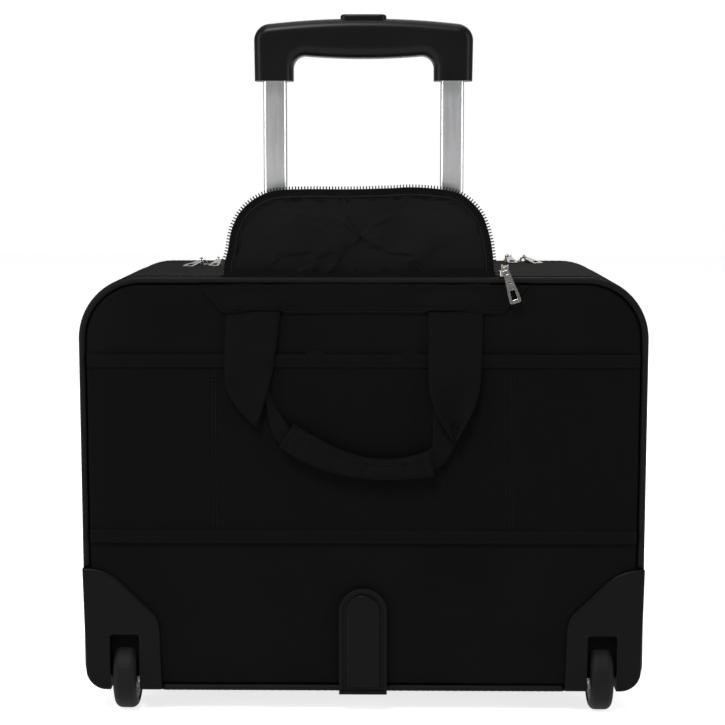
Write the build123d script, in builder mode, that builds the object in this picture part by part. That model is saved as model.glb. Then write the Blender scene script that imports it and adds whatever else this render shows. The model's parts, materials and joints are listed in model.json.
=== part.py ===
from build123d import *
import os

# Rolling laptop case. Millimetres, +Z up, origin on the floor under the middle of the case.
# -Y is the rear (wheel side, where the trolley handle and the handle bay are), +Y the front.

# ---- driving dimensions: case shell ----
CASE_HALF = 216.5
CASE_BOTTOM = 20.0
CASE_TOP = 341.5
TOP_RADIUS = 46.0
BOTTOM_RADIUS = 18.0
FACE_Y = 104.0
PANEL_THICK = 4.8
PANEL_INSET = 3.0
GUSSET_THICK = 4.0
GUSSET_Y = 98.8
PIPING_RADIUS = 2.5
PIPING_Y = FACE_Y - PIPING_RADIUS
BOARD_THICK = 2.5
BACK_BOARD_Y = -98.6
COVER_Y = -30.7
BASE_BOARD_Z = 24.2
LINING_GAP = 0.2
HOUSING_GAP = 0.3
REAR_PIPING_Z = 117.3
PIPING_LOW_HALF = 157.2
DIVIDER_SIZE = (404.0, 248.0)
DIVIDER_RADIUS = 12.0
DIVIDER_THICK = 6.0
DIVIDER_Z = 152.0

# ---- opening sections at the front ----
BASE_RIM_Z = 98.0
UPPER_BOTTOM = 100.0
UPPER_RADIUS = 6.0
MAIN_ZIP_Y = 42.0
MAIN_ZIP_HALF = 2.0
FRONT_ZIP_Y = 85.0
FRONT_ZIP_HALF = 1.0
SECTION_WALL = 3.0
TAPE_INSET = 0.6
TAPE_THICK = 1.8
TAPE_SPLIT = 0.1
TAPE_START_Z = 104.0

# ---- rear face trim ----
TRIM_THICK = 1.15
BAND_HALF = 212.5
BAND_LOW = 136.7
BAND_HIGH = 285.0
TAPE_WIDTH = 10.7
YOKE_BOTTOM = 316.0
YOKE_SHOULDER = 336.0
YOKE_HALF = 108.0
YOKE_TOP_HALF = 126.0
YOKE_TOP = 338.2

# ---- handle bay and flap ----
BAY_HALF = 101.5
BAY_REAR = -98.8
BAY_FRONT = -31.8
BAY_RADIUS = 38.0
TRAY_GAP = 1.5
TRAY_REAR = -96.0
TRAY_WALL = 2.0
TRAY_FLOOR_Z = 278.0
TRAY_FLOOR_THICK = 2.5
TRAY_TOP = 340.0
FLAP_BOTTOM = 344.5
FLAP_TOP = 411.0
FLAP_FRONT = -90.0
FLAP_THICK = 7.0
FLAP_RADIUS = 39.0

# ---- telescopic trolley ----
TUBE_X = 68.4
TUBE_Y = -71.0
TUBE_CORNER = 3.0
OUTER_SIZE = (26.0, 18.5)
OUTER_BORE = (23.8, 16.3)
STAGE1_SIZE = (23.2, 15.7)
STAGE1_BORE = (21.2, 13.7)
STAGE2_SIZE = (20.6, 13.1)
STAGE2_BORE = (18.6, 11.1)
STAGE3_SIZE = (18.0, 10.5)
STAGE3_BORE = (15.6, 8.1)
SOCKET_FLOOR = 33.0
FOOT_BOTTOM = 27.0
FOOT_TOP = 47.0
FOOT_HALF = 100.0
BUSH_HEIGHT = 7.0
BUSH_GAP = 0.2
STAGE1_LOW = 33.0
STAGE1_TOP = 283.0
STAGE2_LOW = 35.0
STAGE2_TOP = 287.0
STAGE3_LOW = 237.0
STAGE3_TOP = 520.0
COLLAR_HEIGHT = 3.0

# ---- trolley grip ----
GRIP_HALF = 84.15
GRIP_FOOT_HALF = 83.4
GRIP_TOP = 540.4
GRIP_SHOULDER = 535.0
GRIP_LEG_BOTTOM = 493.0
GRIP_LEG_WIDTH = 30.0
GRIP_UNDERSIDE = 513.0
GRIP_BELLY = 510.2
GRIP_SPLIT = 526.0
GRIP_DEPTH = 27.0
GRIP_CORNER = 13.0
GRIP_INNER_CORNER = 9.5
GRIP_EDGE = 8.0
GRIP_SLOT = (152.0, 9.4)
GRIP_SLOT_LOW = 521.0
GRIP_SLOT_HIGH = 532.5
BUTTON_HALF = 17.6
BUTTON_DEPTH = 21.0
BUTTON_CORNER = 5.0
BUTTON_TOP = 543.4
BUTTON_GAP = 0.3
YOKE_BAR_LOW = 528.0
YOKE_BAR_HIGH = 531.0
ROD_RADIUS = 1.5
ROD_BOTTOM = 249.6
PIN_RADIUS = 2.2
PIN_Z = 240.5

# ---- wheels and base ----
WHEEL_X = 187.0
WHEEL_Y = -88.0
WHEEL_RADIUS = 27.0
WHEEL_HALF = 9.0
HUB_RADIUS = 20.0
AXLE_RADIUS = 3.0
BEARING_RADIUS = 7.5
WELL_HALF = 11.5
WELL_TOP = 63.6
WELL_FRONT = -58.0
WELL_CORNER = 2.5
HOUSING_REAR = -107.0
HOUSING_FRONT = -52.0
HOUSING_WALL = 3.0
SKID_HALF = 18.75
SKID_BOTTOM = 16.4
SKID_TOP = 101.6
SKID_BORE = 3.2
FOOT_X = 175.0
FOOT_Y = 80.0
SCREW_RADIUS = 1.6
SCREW_HEAD = 3.2
SCREW_HOLE = 1.75
SCREW_HEAD_HEIGHT = 2.0
HEX_KEY = 1.4
FOOT_HEAD_Z = 5.9

# ---- carry handles ----
HANDLE_TOP = 318.0
LEFT_LEG_X = -83.4
RIGHT_LEG_X = 70.4
WEBBING_WIDTH = 41.0
WEBBING_THICK = 3.4
REAR_HANDLE_Y = 105.6
FRONT_HANDLE_Y = 108.5
GRIP_WRAP_DEPTH = 13.0

# ---- zip sliders and rings ----
SLIDER_BODY = (8.0, 11.0, 4.0)
EAR_X = 2.2
EAR_THICK = 1.2
SLIDER_PIN = 0.8
PULL_WIDTH = 6.6
PULL_THICK = 1.6
PULL_LENGTH = 27.0
RING_X = 220.9
RING_Y = -12.0
RING_Z = 285.0
RING_WIRE = 1.75


def save(piece, label):
    """Label a finished piece and write it to its own file."""
    piece.part.label = label
    export_step(piece.part, f"parts/{label}.step")


def upright(y):
    """Upright plane at depth y: local x is +X, local y is +Z, and an extrusion goes to the rear."""
    return Plane.XZ.offset(-y)


def case_outline(y, inset, bottom=CASE_BOTTOM, radius=BOTTOM_RADIUS):
    """Rounded outline of the case at depth y, drawn in by inset."""
    half = CASE_HALF - inset
    low = bottom + inset
    high = CASE_TOP - inset
    low_radius = max(radius - inset, 1.0)
    high_radius = TOP_RADIUS - inset
    radii = [low_radius, low_radius, high_radius, high_radius]
    with BuildSketch(upright(y)) as outline:
        with BuildLine():
            FilletPolyline((-half, low), (half, low), (half, high), (-half, high), radius=radii, close=True)
        make_face()
    return outline.sketch


def upper_outline(y, inset):
    """Outline of the hinged upper sections at depth y."""
    return case_outline(y, inset, bottom=UPPER_BOTTOM, radius=UPPER_RADIUS)


def housing_profile(side, y, grow=0.0):
    """Outline of a wheel housing in the lower corner on the given side, made larger by grow."""
    foot = (side * (158.0 - grow), 18.8 - grow)
    waist = (side * (159.5 - grow), 76.6 + grow)
    shoulder = (side * (200.0 - grow), 116.0 + grow)
    tip = (side * (219.4 + grow), 116.5 + grow)
    corner = (side * (217.4 + grow), 18.8 - grow)
    radii = [1.5, 22.0, 37.0 + 3 * grow, 1.0, 16.0]
    with BuildSketch(upright(y)) as profile:
        with BuildLine():
            FilletPolyline(foot, waist, shoulder, tip, corner, radius=radii, close=True)
        make_face()
    return profile.sketch


def bay_plan(z, gap, rear):
    """Plan of the handle bay at height z: square at the rear, widely rounded at the front."""
    half = BAY_HALF - gap
    front = BAY_FRONT - gap
    radius = BAY_RADIUS - gap
    with BuildSketch(Plane.XY.offset(z)) as plan:
        with BuildLine():
            FilletPolyline(
                (-half, rear), (half, rear), (half, front), (-half, front),
                radius=[1.0, 1.0, radius, radius], close=True,
            )
        make_face()
    return plan.sketch


def tube_pair(z, size, corner=TUBE_CORNER):
    """Both trolley tube sections at height z."""
    with BuildSketch(Plane.XY.offset(z)) as sections:
        with Locations((-TUBE_X, TUBE_Y), (TUBE_X, TUBE_Y)):
            RectangleRounded(size[0], size[1], corner)
    return sections.sketch


def clear_of(size, gap):
    """A section size with the same gap taken off all round."""
    return (size[0] - gap, size[1] - gap)


# =====================================================================
# Fixed shell: rear panel, gusset, boards, piping
# =====================================================================

SKID_SCREWS = [(0.0, 40.0), (0.0, 80.0)]
FOOT_SCREWS = [(-FOOT_X, FOOT_Y), (FOOT_X, FOOT_Y)]
BRACKET_SCREWS = [(-93.0, TUBE_Y), (93.0, TUBE_Y)]

with BuildPart() as rear_panel:
    extrude(case_outline(PANEL_THICK - FACE_Y, PANEL_INSET), amount=PANEL_THICK)
    for side in (-1, 1):
        extrude(housing_profile(side, HOUSING_FRONT, HOUSING_GAP), amount=60, mode=Mode.SUBTRACT)
    with BuildSketch(upright(-GUSSET_Y)):
        with Locations(*SKID_SCREWS):
            Circle(SCREW_HOLE)
    extrude(amount=10, mode=Mode.SUBTRACT)
save(rear_panel, "rear_panel")

with BuildPart() as main_gusset:
    extrude(case_outline(GUSSET_Y, 0), amount=2 * GUSSET_Y)
    extrude(case_outline(GUSSET_Y + 1, GUSSET_THICK), amount=2 * GUSSET_Y + 2, mode=Mode.SUBTRACT)
    with BuildSketch(Plane.XY.offset(BASE_RIM_Z)):
        with Locations((0, (MAIN_ZIP_Y - MAIN_ZIP_HALF + FACE_Y) / 2)):
            Rectangle(2.2 * CASE_HALF, FACE_Y - MAIN_ZIP_Y + MAIN_ZIP_HALF)
    extrude(amount=CASE_TOP, mode=Mode.SUBTRACT)
    extrude(bay_plan(CASE_TOP - 10, 0, BAY_REAR - 1), amount=20, mode=Mode.SUBTRACT)
    for side in (-1, 1):
        corner_cut = housing_profile(side, HOUSING_FRONT + HOUSING_GAP, HOUSING_GAP)
        extrude(corner_cut, amount=60, mode=Mode.SUBTRACT)
    with BuildSketch(Plane.XY):
        with Locations(*FOOT_SCREWS, *BRACKET_SCREWS):
            Circle(SCREW_HOLE)
    extrude(amount=CASE_BOTTOM + GUSSET_THICK + 1, mode=Mode.SUBTRACT)
save(main_gusset, "main_gusset")

with BuildPart() as back_board:
    extrude(case_outline(BACK_BOARD_Y + BOARD_THICK, GUSSET_THICK + 1), amount=BOARD_THICK)
    split(bisect_by=Plane.XY.offset(FOOT_BOTTOM + LINING_GAP), keep=Keep.TOP)
    for side in (-1, 1):
        extrude(housing_profile(side, HOUSING_FRONT, HOUSING_GAP + 0.1), amount=60, mode=Mode.SUBTRACT)
    with BuildSketch(upright(-TUBE_Y)):
        with Locations(*SKID_SCREWS):
            Circle(SCREW_HOLE)
    extrude(amount=200, mode=Mode.SUBTRACT)
save(back_board, "back_board")

with BuildPart() as base_board:
    with BuildSketch(Plane.XY.offset(BASE_BOARD_Z)):
        with Locations((0, 1.0)):
            Rectangle(380, 188)
    extrude(amount=FOOT_BOTTOM - BASE_BOARD_Z)
    for side in (-1, 1):
        corner_cut = housing_profile(side, HOUSING_FRONT + HOUSING_GAP + 0.1, HOUSING_GAP + 0.1)
        extrude(corner_cut, amount=60, mode=Mode.SUBTRACT)
    with BuildSketch(Plane.XY.offset(20)):
        with Locations(*FOOT_SCREWS, *BRACKET_SCREWS):
            Circle(SCREW_HOLE)
    extrude(amount=10, mode=Mode.SUBTRACT)
save(base_board, "base_board")


def piping_run(y, points, radii):
    """Centre line of a round piping cord through the given corners at depth y."""
    with BuildLine(upright(y)) as path:
        FilletPolyline(*points, radius=radii)
    return path.line


def case_corner_run(low_z):
    """Corners of the piping that goes up one side, over the top and down the other."""
    return [(-CASE_HALF, low_z), (-CASE_HALF, CASE_TOP), (CASE_HALF, CASE_TOP), (CASE_HALF, low_z)]


rear_arch = piping_run(-PIPING_Y, case_corner_run(REAR_PIPING_Z), TOP_RADIUS)
SILL_TOP = BASE_RIM_Z - 0.5
sill_corners = [
    (-CASE_HALF, SILL_TOP), (-CASE_HALF, CASE_BOTTOM),
    (CASE_HALF, CASE_BOTTOM), (CASE_HALF, SILL_TOP),
]
front_sill = piping_run(PIPING_Y, sill_corners, BOTTOM_RADIUS)

with BuildPart() as piping_cords:
    with BuildSketch(Plane(origin=rear_arch @ 0, z_dir=rear_arch % 0)):
        Circle(PIPING_RADIUS)
    sweep(path=rear_arch)
    with BuildSketch(Plane(origin=front_sill @ 0, z_dir=front_sill % 0)):
        Circle(PIPING_RADIUS)
    sweep(path=front_sill)
    with BuildSketch(Plane.YZ.offset(-PIPING_LOW_HALF)):
        with Locations((-PIPING_Y, CASE_BOTTOM)):
            Circle(PIPING_RADIUS)
    extrude(amount=2 * PIPING_LOW_HALF)
save(piping_cords, "piping_cords")

with BuildPart() as front_base_panel:
    extrude(case_outline(FACE_Y, PANEL_INSET), amount=PANEL_THICK)
    split(bisect_by=Plane.XY.offset(BASE_RIM_Z), keep=Keep.BOTTOM)
save(front_base_panel, "front_base_panel")

with BuildPart() as rear_band:
    with BuildSketch(upright(-FACE_Y - 0.05)):
        with Locations((0, (BAND_LOW + BAND_HIGH) / 2)):
            Rectangle(2 * BAND_HALF, BAND_HIGH - BAND_LOW - 2 * TAPE_WIDTH - 0.4)
    extrude(amount=TRIM_THICK)
save(rear_band, "rear_band")

with BuildPart() as rear_trim:
    with BuildSketch(upright(-FACE_Y - 0.05)):
        with Locations((0, BAND_LOW + TAPE_WIDTH / 2), (0, BAND_HIGH - TAPE_WIDTH / 2)):
            Rectangle(2 * BAND_HALF, TAPE_WIDTH)
        with BuildLine():
            Polyline(
                (-YOKE_HALF, YOKE_BOTTOM), (YOKE_HALF, YOKE_BOTTOM), (YOKE_TOP_HALF, YOKE_SHOULDER),
                (YOKE_TOP_HALF, YOKE_TOP), (-YOKE_TOP_HALF, YOKE_TOP), (-YOKE_TOP_HALF, YOKE_SHOULDER),
                close=True,
            )
        make_face()
    extrude(amount=TRIM_THICK)
save(rear_trim, "rear_trim")

with BuildPart() as main_zip_tape:
    extrude(case_outline(MAIN_ZIP_Y - TAPE_SPLIT, TAPE_INSET), amount=MAIN_ZIP_HALF - TAPE_SPLIT)
    extrude(case_outline(MAIN_ZIP_Y + 1, TAPE_INSET + TAPE_THICK), amount=5, mode=Mode.SUBTRACT)
    split(bisect_by=Plane.XY.offset(TAPE_START_Z), keep=Keep.TOP)
save(main_zip_tape, "main_zip_tape")

# =====================================================================
# Inside the case: handle bay, trolley cover, divider
# =====================================================================

with BuildPart() as bay_tray:
    tray_low = TRAY_FLOOR_Z - TRAY_FLOOR_THICK
    extrude(bay_plan(tray_low, TRAY_GAP, TRAY_REAR), amount=TRAY_TOP - tray_low)
    hollow = bay_plan(TRAY_FLOOR_Z, TRAY_GAP + TRAY_WALL, TRAY_REAR + TRAY_WALL)
    extrude(hollow, amount=100, mode=Mode.SUBTRACT)
    extrude(tube_pair(TRAY_FLOOR_Z, (30.0, 22.5), 4.0), amount=COLLAR_HEIGHT)
    extrude(tube_pair(TRAY_FLOOR_Z - 10, OUTER_BORE), amount=30, mode=Mode.SUBTRACT)
save(bay_tray, "bay_tray")

with BuildPart() as trolley_cover:
    extrude(case_outline(COVER_Y, GUSSET_THICK + 0.6), amount=BOARD_THICK)
    split(bisect_by=Plane.XY.offset(FOOT_BOTTOM + LINING_GAP), keep=Keep.TOP)
save(trolley_cover, "trolley_cover")

with BuildPart() as laptop_divider:
    with BuildSketch(upright(DIVIDER_THICK / 2)):
        with Locations((0, DIVIDER_Z)):
            RectangleRounded(DIVIDER_SIZE[0], DIVIDER_SIZE[1], DIVIDER_RADIUS)
    extrude(amount=DIVIDER_THICK)
    fillet(laptop_divider.edges().filter_by(Axis.Y, reverse=True), radius=2)
save(laptop_divider, "laptop_divider")

with BuildPart() as trolley_foot:
    with BuildSketch(Plane.XY.offset(FOOT_BOTTOM)):
        with Locations((0, TUBE_Y)):
            RectangleRounded(2 * FOOT_HALF, 34, 5)
    extrude(amount=SOCKET_FLOOR - FOOT_BOTTOM)
    with BuildSketch(Plane.XY.offset(SOCKET_FLOOR)):
        with Locations((-TUBE_X, TUBE_Y), (TUBE_X, TUBE_Y)):
            RectangleRounded(34, 26, 5)
        with Locations((0, TUBE_Y)):
            Rectangle(2 * TUBE_X - 30, 8)
    extrude(amount=FOOT_TOP - SOCKET_FLOOR)
    extrude(tube_pair(SOCKET_FLOOR, (26.1, 18.6)), amount=30, mode=Mode.SUBTRACT)
    with BuildSketch(Plane.XY.offset(20)):
        with Locations(*BRACKET_SCREWS):
            Circle(SCREW_HOLE)
    extrude(amount=20, mode=Mode.SUBTRACT)
save(trolley_foot, "trolley_foot")

# =====================================================================
# Telescopic trolley
# =====================================================================


def tube_stage(low, top, size, bore):
    """A pair of aluminium tubes between two heights."""
    with BuildPart() as tubes:
        extrude(tube_pair(low, size), amount=top - low)
        extrude(tube_pair(low - 1, bore, TUBE_CORNER - 1), amount=top - low + 2, mode=Mode.SUBTRACT)
    return tubes


def stage_bushes(low, tube_top, guide, flange, bore):
    """Guide bushes under a pair of tubes and wear collars on top of them."""
    with BuildPart() as bushes:
        extrude(tube_pair(low, guide), amount=BUSH_HEIGHT)
        extrude(tube_pair(tube_top, flange), amount=COLLAR_HEIGHT)
        extrude(tube_pair(low - 1, bore, TUBE_CORNER - 1), amount=tube_top, mode=Mode.SUBTRACT)
    return bushes


outer_tubes = tube_stage(SOCKET_FLOOR, TRAY_FLOOR_Z - TRAY_FLOOR_THICK - 0.1, OUTER_SIZE, OUTER_BORE)
save(outer_tubes, "outer_tubes")

stage1_tubes = tube_stage(STAGE1_LOW + BUSH_HEIGHT, STAGE1_TOP, STAGE1_SIZE, STAGE1_BORE)
save(stage1_tubes, "stage1_tubes")
stage1_guide = clear_of(OUTER_BORE, BUSH_GAP)
stage1_bushes = stage_bushes(STAGE1_LOW, STAGE1_TOP, stage1_guide, OUTER_SIZE, STAGE1_BORE)
save(stage1_bushes, "stage1_bushes")

stage2_tubes = tube_stage(STAGE2_LOW + BUSH_HEIGHT, STAGE2_TOP, STAGE2_SIZE, STAGE2_BORE)
save(stage2_tubes, "stage2_tubes")
stage2_guide = clear_of(STAGE1_BORE, BUSH_GAP)
stage2_bushes = stage_bushes(STAGE2_LOW, STAGE2_TOP, stage2_guide, (23.4, 15.9), STAGE2_BORE)
save(stage2_bushes, "stage2_bushes")

stage3_tubes = tube_stage(STAGE3_LOW + BUSH_HEIGHT, STAGE3_TOP, STAGE3_SIZE, STAGE3_BORE)
save(stage3_tubes, "stage3_tubes")

with BuildPart() as lock_blocks:
    extrude(tube_pair(STAGE3_LOW, clear_of(STAGE2_BORE, BUSH_GAP), 2.0), amount=BUSH_HEIGHT)
    for side in (-1, 1):
        with BuildSketch(Plane.YZ.offset(side * (TUBE_X + 12))):
            with Locations((TUBE_Y, PIN_Z)):
                Circle(PIN_RADIUS + 0.05)
        extrude(amount=-side * 14, mode=Mode.SUBTRACT)
save(lock_blocks, "lock_blocks")

for side, label in ((-1, "left"), (1, "right")):
    with BuildPart() as lock_pin:
        with BuildSketch(Plane.YZ.offset(side * (TUBE_X + 9.1))):
            with Locations((TUBE_Y, PIN_Z)):
                Circle(PIN_RADIUS)
        extrude(amount=-side * 6.5)
        chamfer(lock_pin.edges().group_by(Axis.X)[0 if side < 0 else -1], length=0.6)
    save(lock_pin, f"lock_pin_{label}")


def grip_outline(y):
    """Inverted-U outline of the trolley grip at depth y: crowned on top, full underneath."""
    inner = GRIP_HALF - GRIP_LEG_WIDTH
    foot = GRIP_LEG_BOTTOM - 2 * GRIP_EDGE
    with BuildSketch(upright(y)) as outline:
        with BuildLine():
            ThreePointArc((-GRIP_HALF, GRIP_SHOULDER), (0, GRIP_TOP), (GRIP_HALF, GRIP_SHOULDER))
            ThreePointArc((-inner, GRIP_UNDERSIDE), (0, GRIP_BELLY), (inner, GRIP_UNDERSIDE))
            for side in (-1, 1):
                Polyline(
                    (side * GRIP_HALF, GRIP_SHOULDER), (side * GRIP_FOOT_HALF, foot),
                    (side * inner, foot), (side * inner, GRIP_UNDERSIDE),
                )
        make_face()
        fillet(outline.vertices().group_by(Axis.Y)[1], radius=GRIP_INNER_CORNER)
        fillet(outline.vertices().group_by(Axis.Y)[-1], radius=GRIP_CORNER)
    return outline.sketch


def grip_body():
    """The whole grip before it is split: rounded along its front and rear edges, cut square at its legs."""
    with BuildPart() as body:
        extrude(grip_outline(TUBE_Y + GRIP_DEPTH / 2), amount=GRIP_DEPTH)
        fillet(body.edges().group_by(Axis.Y)[0] + body.edges().group_by(Axis.Y)[-1], radius=GRIP_EDGE)
        split(bisect_by=Plane.XY.offset(GRIP_LEG_BOTTOM), keep=Keep.TOP)
    return body.part


grip_blank = grip_body()
GRIP_SCREWS = [(-35.0, TUBE_Y + 8.8), (35.0, TUBE_Y + 8.8)]
ROD_PLACES = [(-TUBE_X, TUBE_Y), (TUBE_X, TUBE_Y)]

with BuildPart() as grip_lower:
    add(grip_blank)
    split(bisect_by=Plane.XY.offset(GRIP_SPLIT), keep=Keep.BOTTOM)
    socket_low = GRIP_LEG_BOTTOM - 1
    extrude(tube_pair(socket_low, (18.1, 10.6)), amount=STAGE3_TOP + 0.1 - socket_low, mode=Mode.SUBTRACT)
    with BuildSketch(Plane.XY.offset(GRIP_SLOT_LOW)):
        with Locations((0, TUBE_Y)):
            Rectangle(GRIP_SLOT[0], GRIP_SLOT[1])
    extrude(amount=10, mode=Mode.SUBTRACT)
    with BuildSketch(Plane.XY.offset(515.0)):
        with Locations(*ROD_PLACES):
            Circle(ROD_RADIUS + 0.5)
    extrude(amount=10, mode=Mode.SUBTRACT)
    with BuildSketch(Plane.XY.offset(505.0)):
        with Locations(*GRIP_SCREWS):
            Circle(SCREW_HOLE)
    extrude(amount=30, mode=Mode.SUBTRACT)
    with BuildSketch(Plane.XY.offset(505.0)):
        with Locations(*GRIP_SCREWS):
            Circle(SCREW_HEAD + 0.2)
    extrude(amount=12, mode=Mode.SUBTRACT)
save(grip_lower, "grip_lower")

with BuildPart() as grip_upper:
    add(grip_blank)
    split(bisect_by=Plane.XY.offset(GRIP_SPLIT), keep=Keep.TOP)
    with BuildSketch(Plane.XY.offset(GRIP_SPLIT)):
        with Locations((0, TUBE_Y)):
            Rectangle(GRIP_SLOT[0], GRIP_SLOT[1])
    extrude(amount=GRIP_SLOT_HIGH - GRIP_SPLIT, mode=Mode.SUBTRACT)
    with BuildSketch(Plane.XY.offset(GRIP_SPLIT)):
        with Locations((0, TUBE_Y)):
            RectangleRounded(
                2 * (BUTTON_HALF + BUTTON_GAP), BUTTON_DEPTH + 2 * BUTTON_GAP, BUTTON_CORNER + BUTTON_GAP,
            )
    extrude(amount=30, mode=Mode.SUBTRACT)
    with BuildSketch(Plane.XY.offset(GRIP_SPLIT)):
        with Locations(*GRIP_SCREWS):
            Circle(SCREW_HOLE)
    extrude(amount=6, mode=Mode.SUBTRACT)
save(grip_upper, "grip_upper")

with BuildPart() as grip_screws:
    with BuildSketch(Plane.XY.offset(514.0)):
        with Locations(*GRIP_SCREWS):
            Circle(SCREW_HEAD)
            RegularPolygon(HEX_KEY, 6, mode=Mode.SUBTRACT)
    extrude(amount=2.9)
    with BuildSketch(Plane.XY.offset(515.5)):
        with Locations(*GRIP_SCREWS):
            Circle(SCREW_RADIUS)
    extrude(amount=16)
save(grip_screws, "grip_screws")

with BuildPart() as push_button:
    with BuildSketch(Plane.XY.offset(YOKE_BAR_HIGH)):
        with Locations((0, TUBE_Y)):
            RectangleRounded(2 * BUTTON_HALF, BUTTON_DEPTH, BUTTON_CORNER)
    extrude(amount=BUTTON_TOP - YOKE_BAR_HIGH)
    fillet(push_button.faces().sort_by(Axis.Z)[-1].edges(), radius=2)
save(push_button, "push_button")

with BuildPart() as push_rods:
    with BuildSketch(Plane.XY.offset(YOKE_BAR_LOW)):
        with Locations((0, TUBE_Y)):
            RectangleRounded(2 * TUBE_X + 8, 6.4, 2)
    extrude(amount=YOKE_BAR_HIGH - YOKE_BAR_LOW)
    with BuildSketch(Plane.XY.offset(ROD_BOTTOM)):
        with Locations(*ROD_PLACES):
            Circle(ROD_RADIUS)
    extrude(amount=YOKE_BAR_HIGH - ROD_BOTTOM)
save(push_rods, "push_rods")

SPRING_LOW = 521.4
SPRING_HEIGHT = 5.8
with BuildPart() as button_spring:
    with BuildLine(Plane(origin=(0, TUBE_Y, SPRING_LOW))):
        Helix(pitch=1.45, height=SPRING_HEIGHT, radius=2.8)
    with BuildSketch(Plane(origin=(2.8, TUBE_Y, SPRING_LOW), z_dir=(0, 1, 0))):
        Circle(0.35)
    sweep(is_frenet=True)
save(button_spring, "button_spring")

# =====================================================================
# Wheels, housings, skid rail, feet
# =====================================================================

WHEEL_AXIS = Axis((0, WHEEL_Y, WHEEL_RADIUS), (1, 0, 0))


def wheel_ring(x, half, inner, outer, corner=0.0):
    """Section of a ring round the wheel axle, from one side of x to the other."""
    with BuildSketch(upright(WHEEL_Y)) as ring:
        with Locations((x, WHEEL_RADIUS + (inner + outer) / 2)):
            Rectangle(2 * half, outer - inner)
        if corner:
            fillet(ring.vertices().group_by(Axis.Y)[-1], radius=corner)
    return ring.sketch


for side, label in ((-1, "left"), (1, "right")):
    with BuildPart() as tyre:
        revolve(wheel_ring(side * WHEEL_X, WHEEL_HALF, HUB_RADIUS, WHEEL_RADIUS, 5.5), axis=WHEEL_AXIS)
    save(tyre, f"tyre_{label}")
    with BuildPart() as hub:
        disc = wheel_ring(side * WHEEL_X, WHEEL_HALF - 0.8, BEARING_RADIUS + 0.05, HUB_RADIUS - 0.02)
        revolve(disc, axis=WHEEL_AXIS)
        revolve(wheel_ring(side * WHEEL_X, 3.2, 6.0, BEARING_RADIUS + 1), axis=WHEEL_AXIS)
        for face_x in (side * WHEEL_X - WHEEL_HALF, side * WHEEL_X + WHEEL_HALF - 3.2):
            with BuildSketch(Plane.YZ.offset(face_x)):
                with Locations((WHEEL_Y, WHEEL_RADIUS)):
                    with PolarLocations(13.8, 6):
                        Circle(2.6)
            extrude(amount=3.2, mode=Mode.SUBTRACT)
    save(hub, f"hub_{label}")

with BuildPart() as wheel_bearings:
    for side in (-1, 1):
        for inner_side in (-1, 1):
            revolve(
                wheel_ring(side * WHEEL_X + inner_side * 6.0, 2.4, AXLE_RADIUS + 0.02, BEARING_RADIUS),
                axis=WHEEL_AXIS,
            )
save(wheel_bearings, "wheel_bearings")

with BuildPart() as wheel_axles:
    for side in (-1, 1):
        with BuildSketch(Plane.YZ.offset(side * WHEEL_X - 15.5)):
            with Locations((WHEEL_Y, WHEEL_RADIUS)):
                Circle(AXLE_RADIUS)
        extrude(amount=31)
        for inner_side in (-1, 1):
            revolve(
                wheel_ring(side * WHEEL_X + inner_side * 10.0, 1.3, AXLE_RADIUS + 0.02, 5.0),
                axis=WHEEL_AXIS,
            )
save(wheel_axles, "wheel_axles")

with BuildPart() as wheel_housings:
    extrude(housing_profile(1, HOUSING_FRONT), amount=HOUSING_FRONT - HOUSING_REAR)
    fillet(wheel_housings.edges().group_by(Axis.Y)[0], radius=2)
    hollow = housing_profile(1, HOUSING_FRONT + 1, -HOUSING_WALL)
    extrude(hollow, amount=HOUSING_FRONT + 1 - HOUSING_REAR - HOUSING_WALL, mode=Mode.SUBTRACT)
    with BuildSketch(upright(WELL_FRONT + HOUSING_WALL)):
        with Locations((WHEEL_X, 18.8 + (WELL_TOP + HOUSING_WALL - 18.8) / 2)):
            Rectangle(2 * (WELL_HALF + HOUSING_WALL), WELL_TOP + HOUSING_WALL - 18.8)
    extrude(amount=WELL_FRONT + HOUSING_WALL + 104.5)
    with BuildSketch(upright(WELL_FRONT)):
        with BuildLine():
            left = WHEEL_X - WELL_HALF
            right = WHEEL_X + WELL_HALF
            FilletPolyline(
                (left, 0), (right, 0), (right, WELL_TOP), (left, WELL_TOP),
                radius=[0, 0, WELL_CORNER, WELL_CORNER], close=True,
            )
        make_face()
    extrude(amount=60, mode=Mode.SUBTRACT)
    with BuildSketch(Plane.YZ.offset(WHEEL_X - 16)):
        with Locations((WHEEL_Y, WHEEL_RADIUS)):
            Circle(AXLE_RADIUS + 0.03)
    extrude(amount=32, mode=Mode.SUBTRACT)
    mirror(about=Plane.YZ)
save(wheel_housings, "wheel_housings")


def skid_arch(y, inset):
    """Round-topped outline of the skid rail at depth y."""
    half = SKID_HALF - inset
    with BuildSketch(upright(y)) as arch:
        with BuildLine():
            Polyline(
                (-half, SKID_TOP - SKID_HALF), (-half, SKID_BOTTOM + inset),
                (half, SKID_BOTTOM + inset), (half, SKID_TOP - SKID_HALF),
            )
            RadiusArc((-half, SKID_TOP - SKID_HALF), (half, SKID_TOP - SKID_HALF), half)
        make_face()
    return arch.sketch


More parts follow.
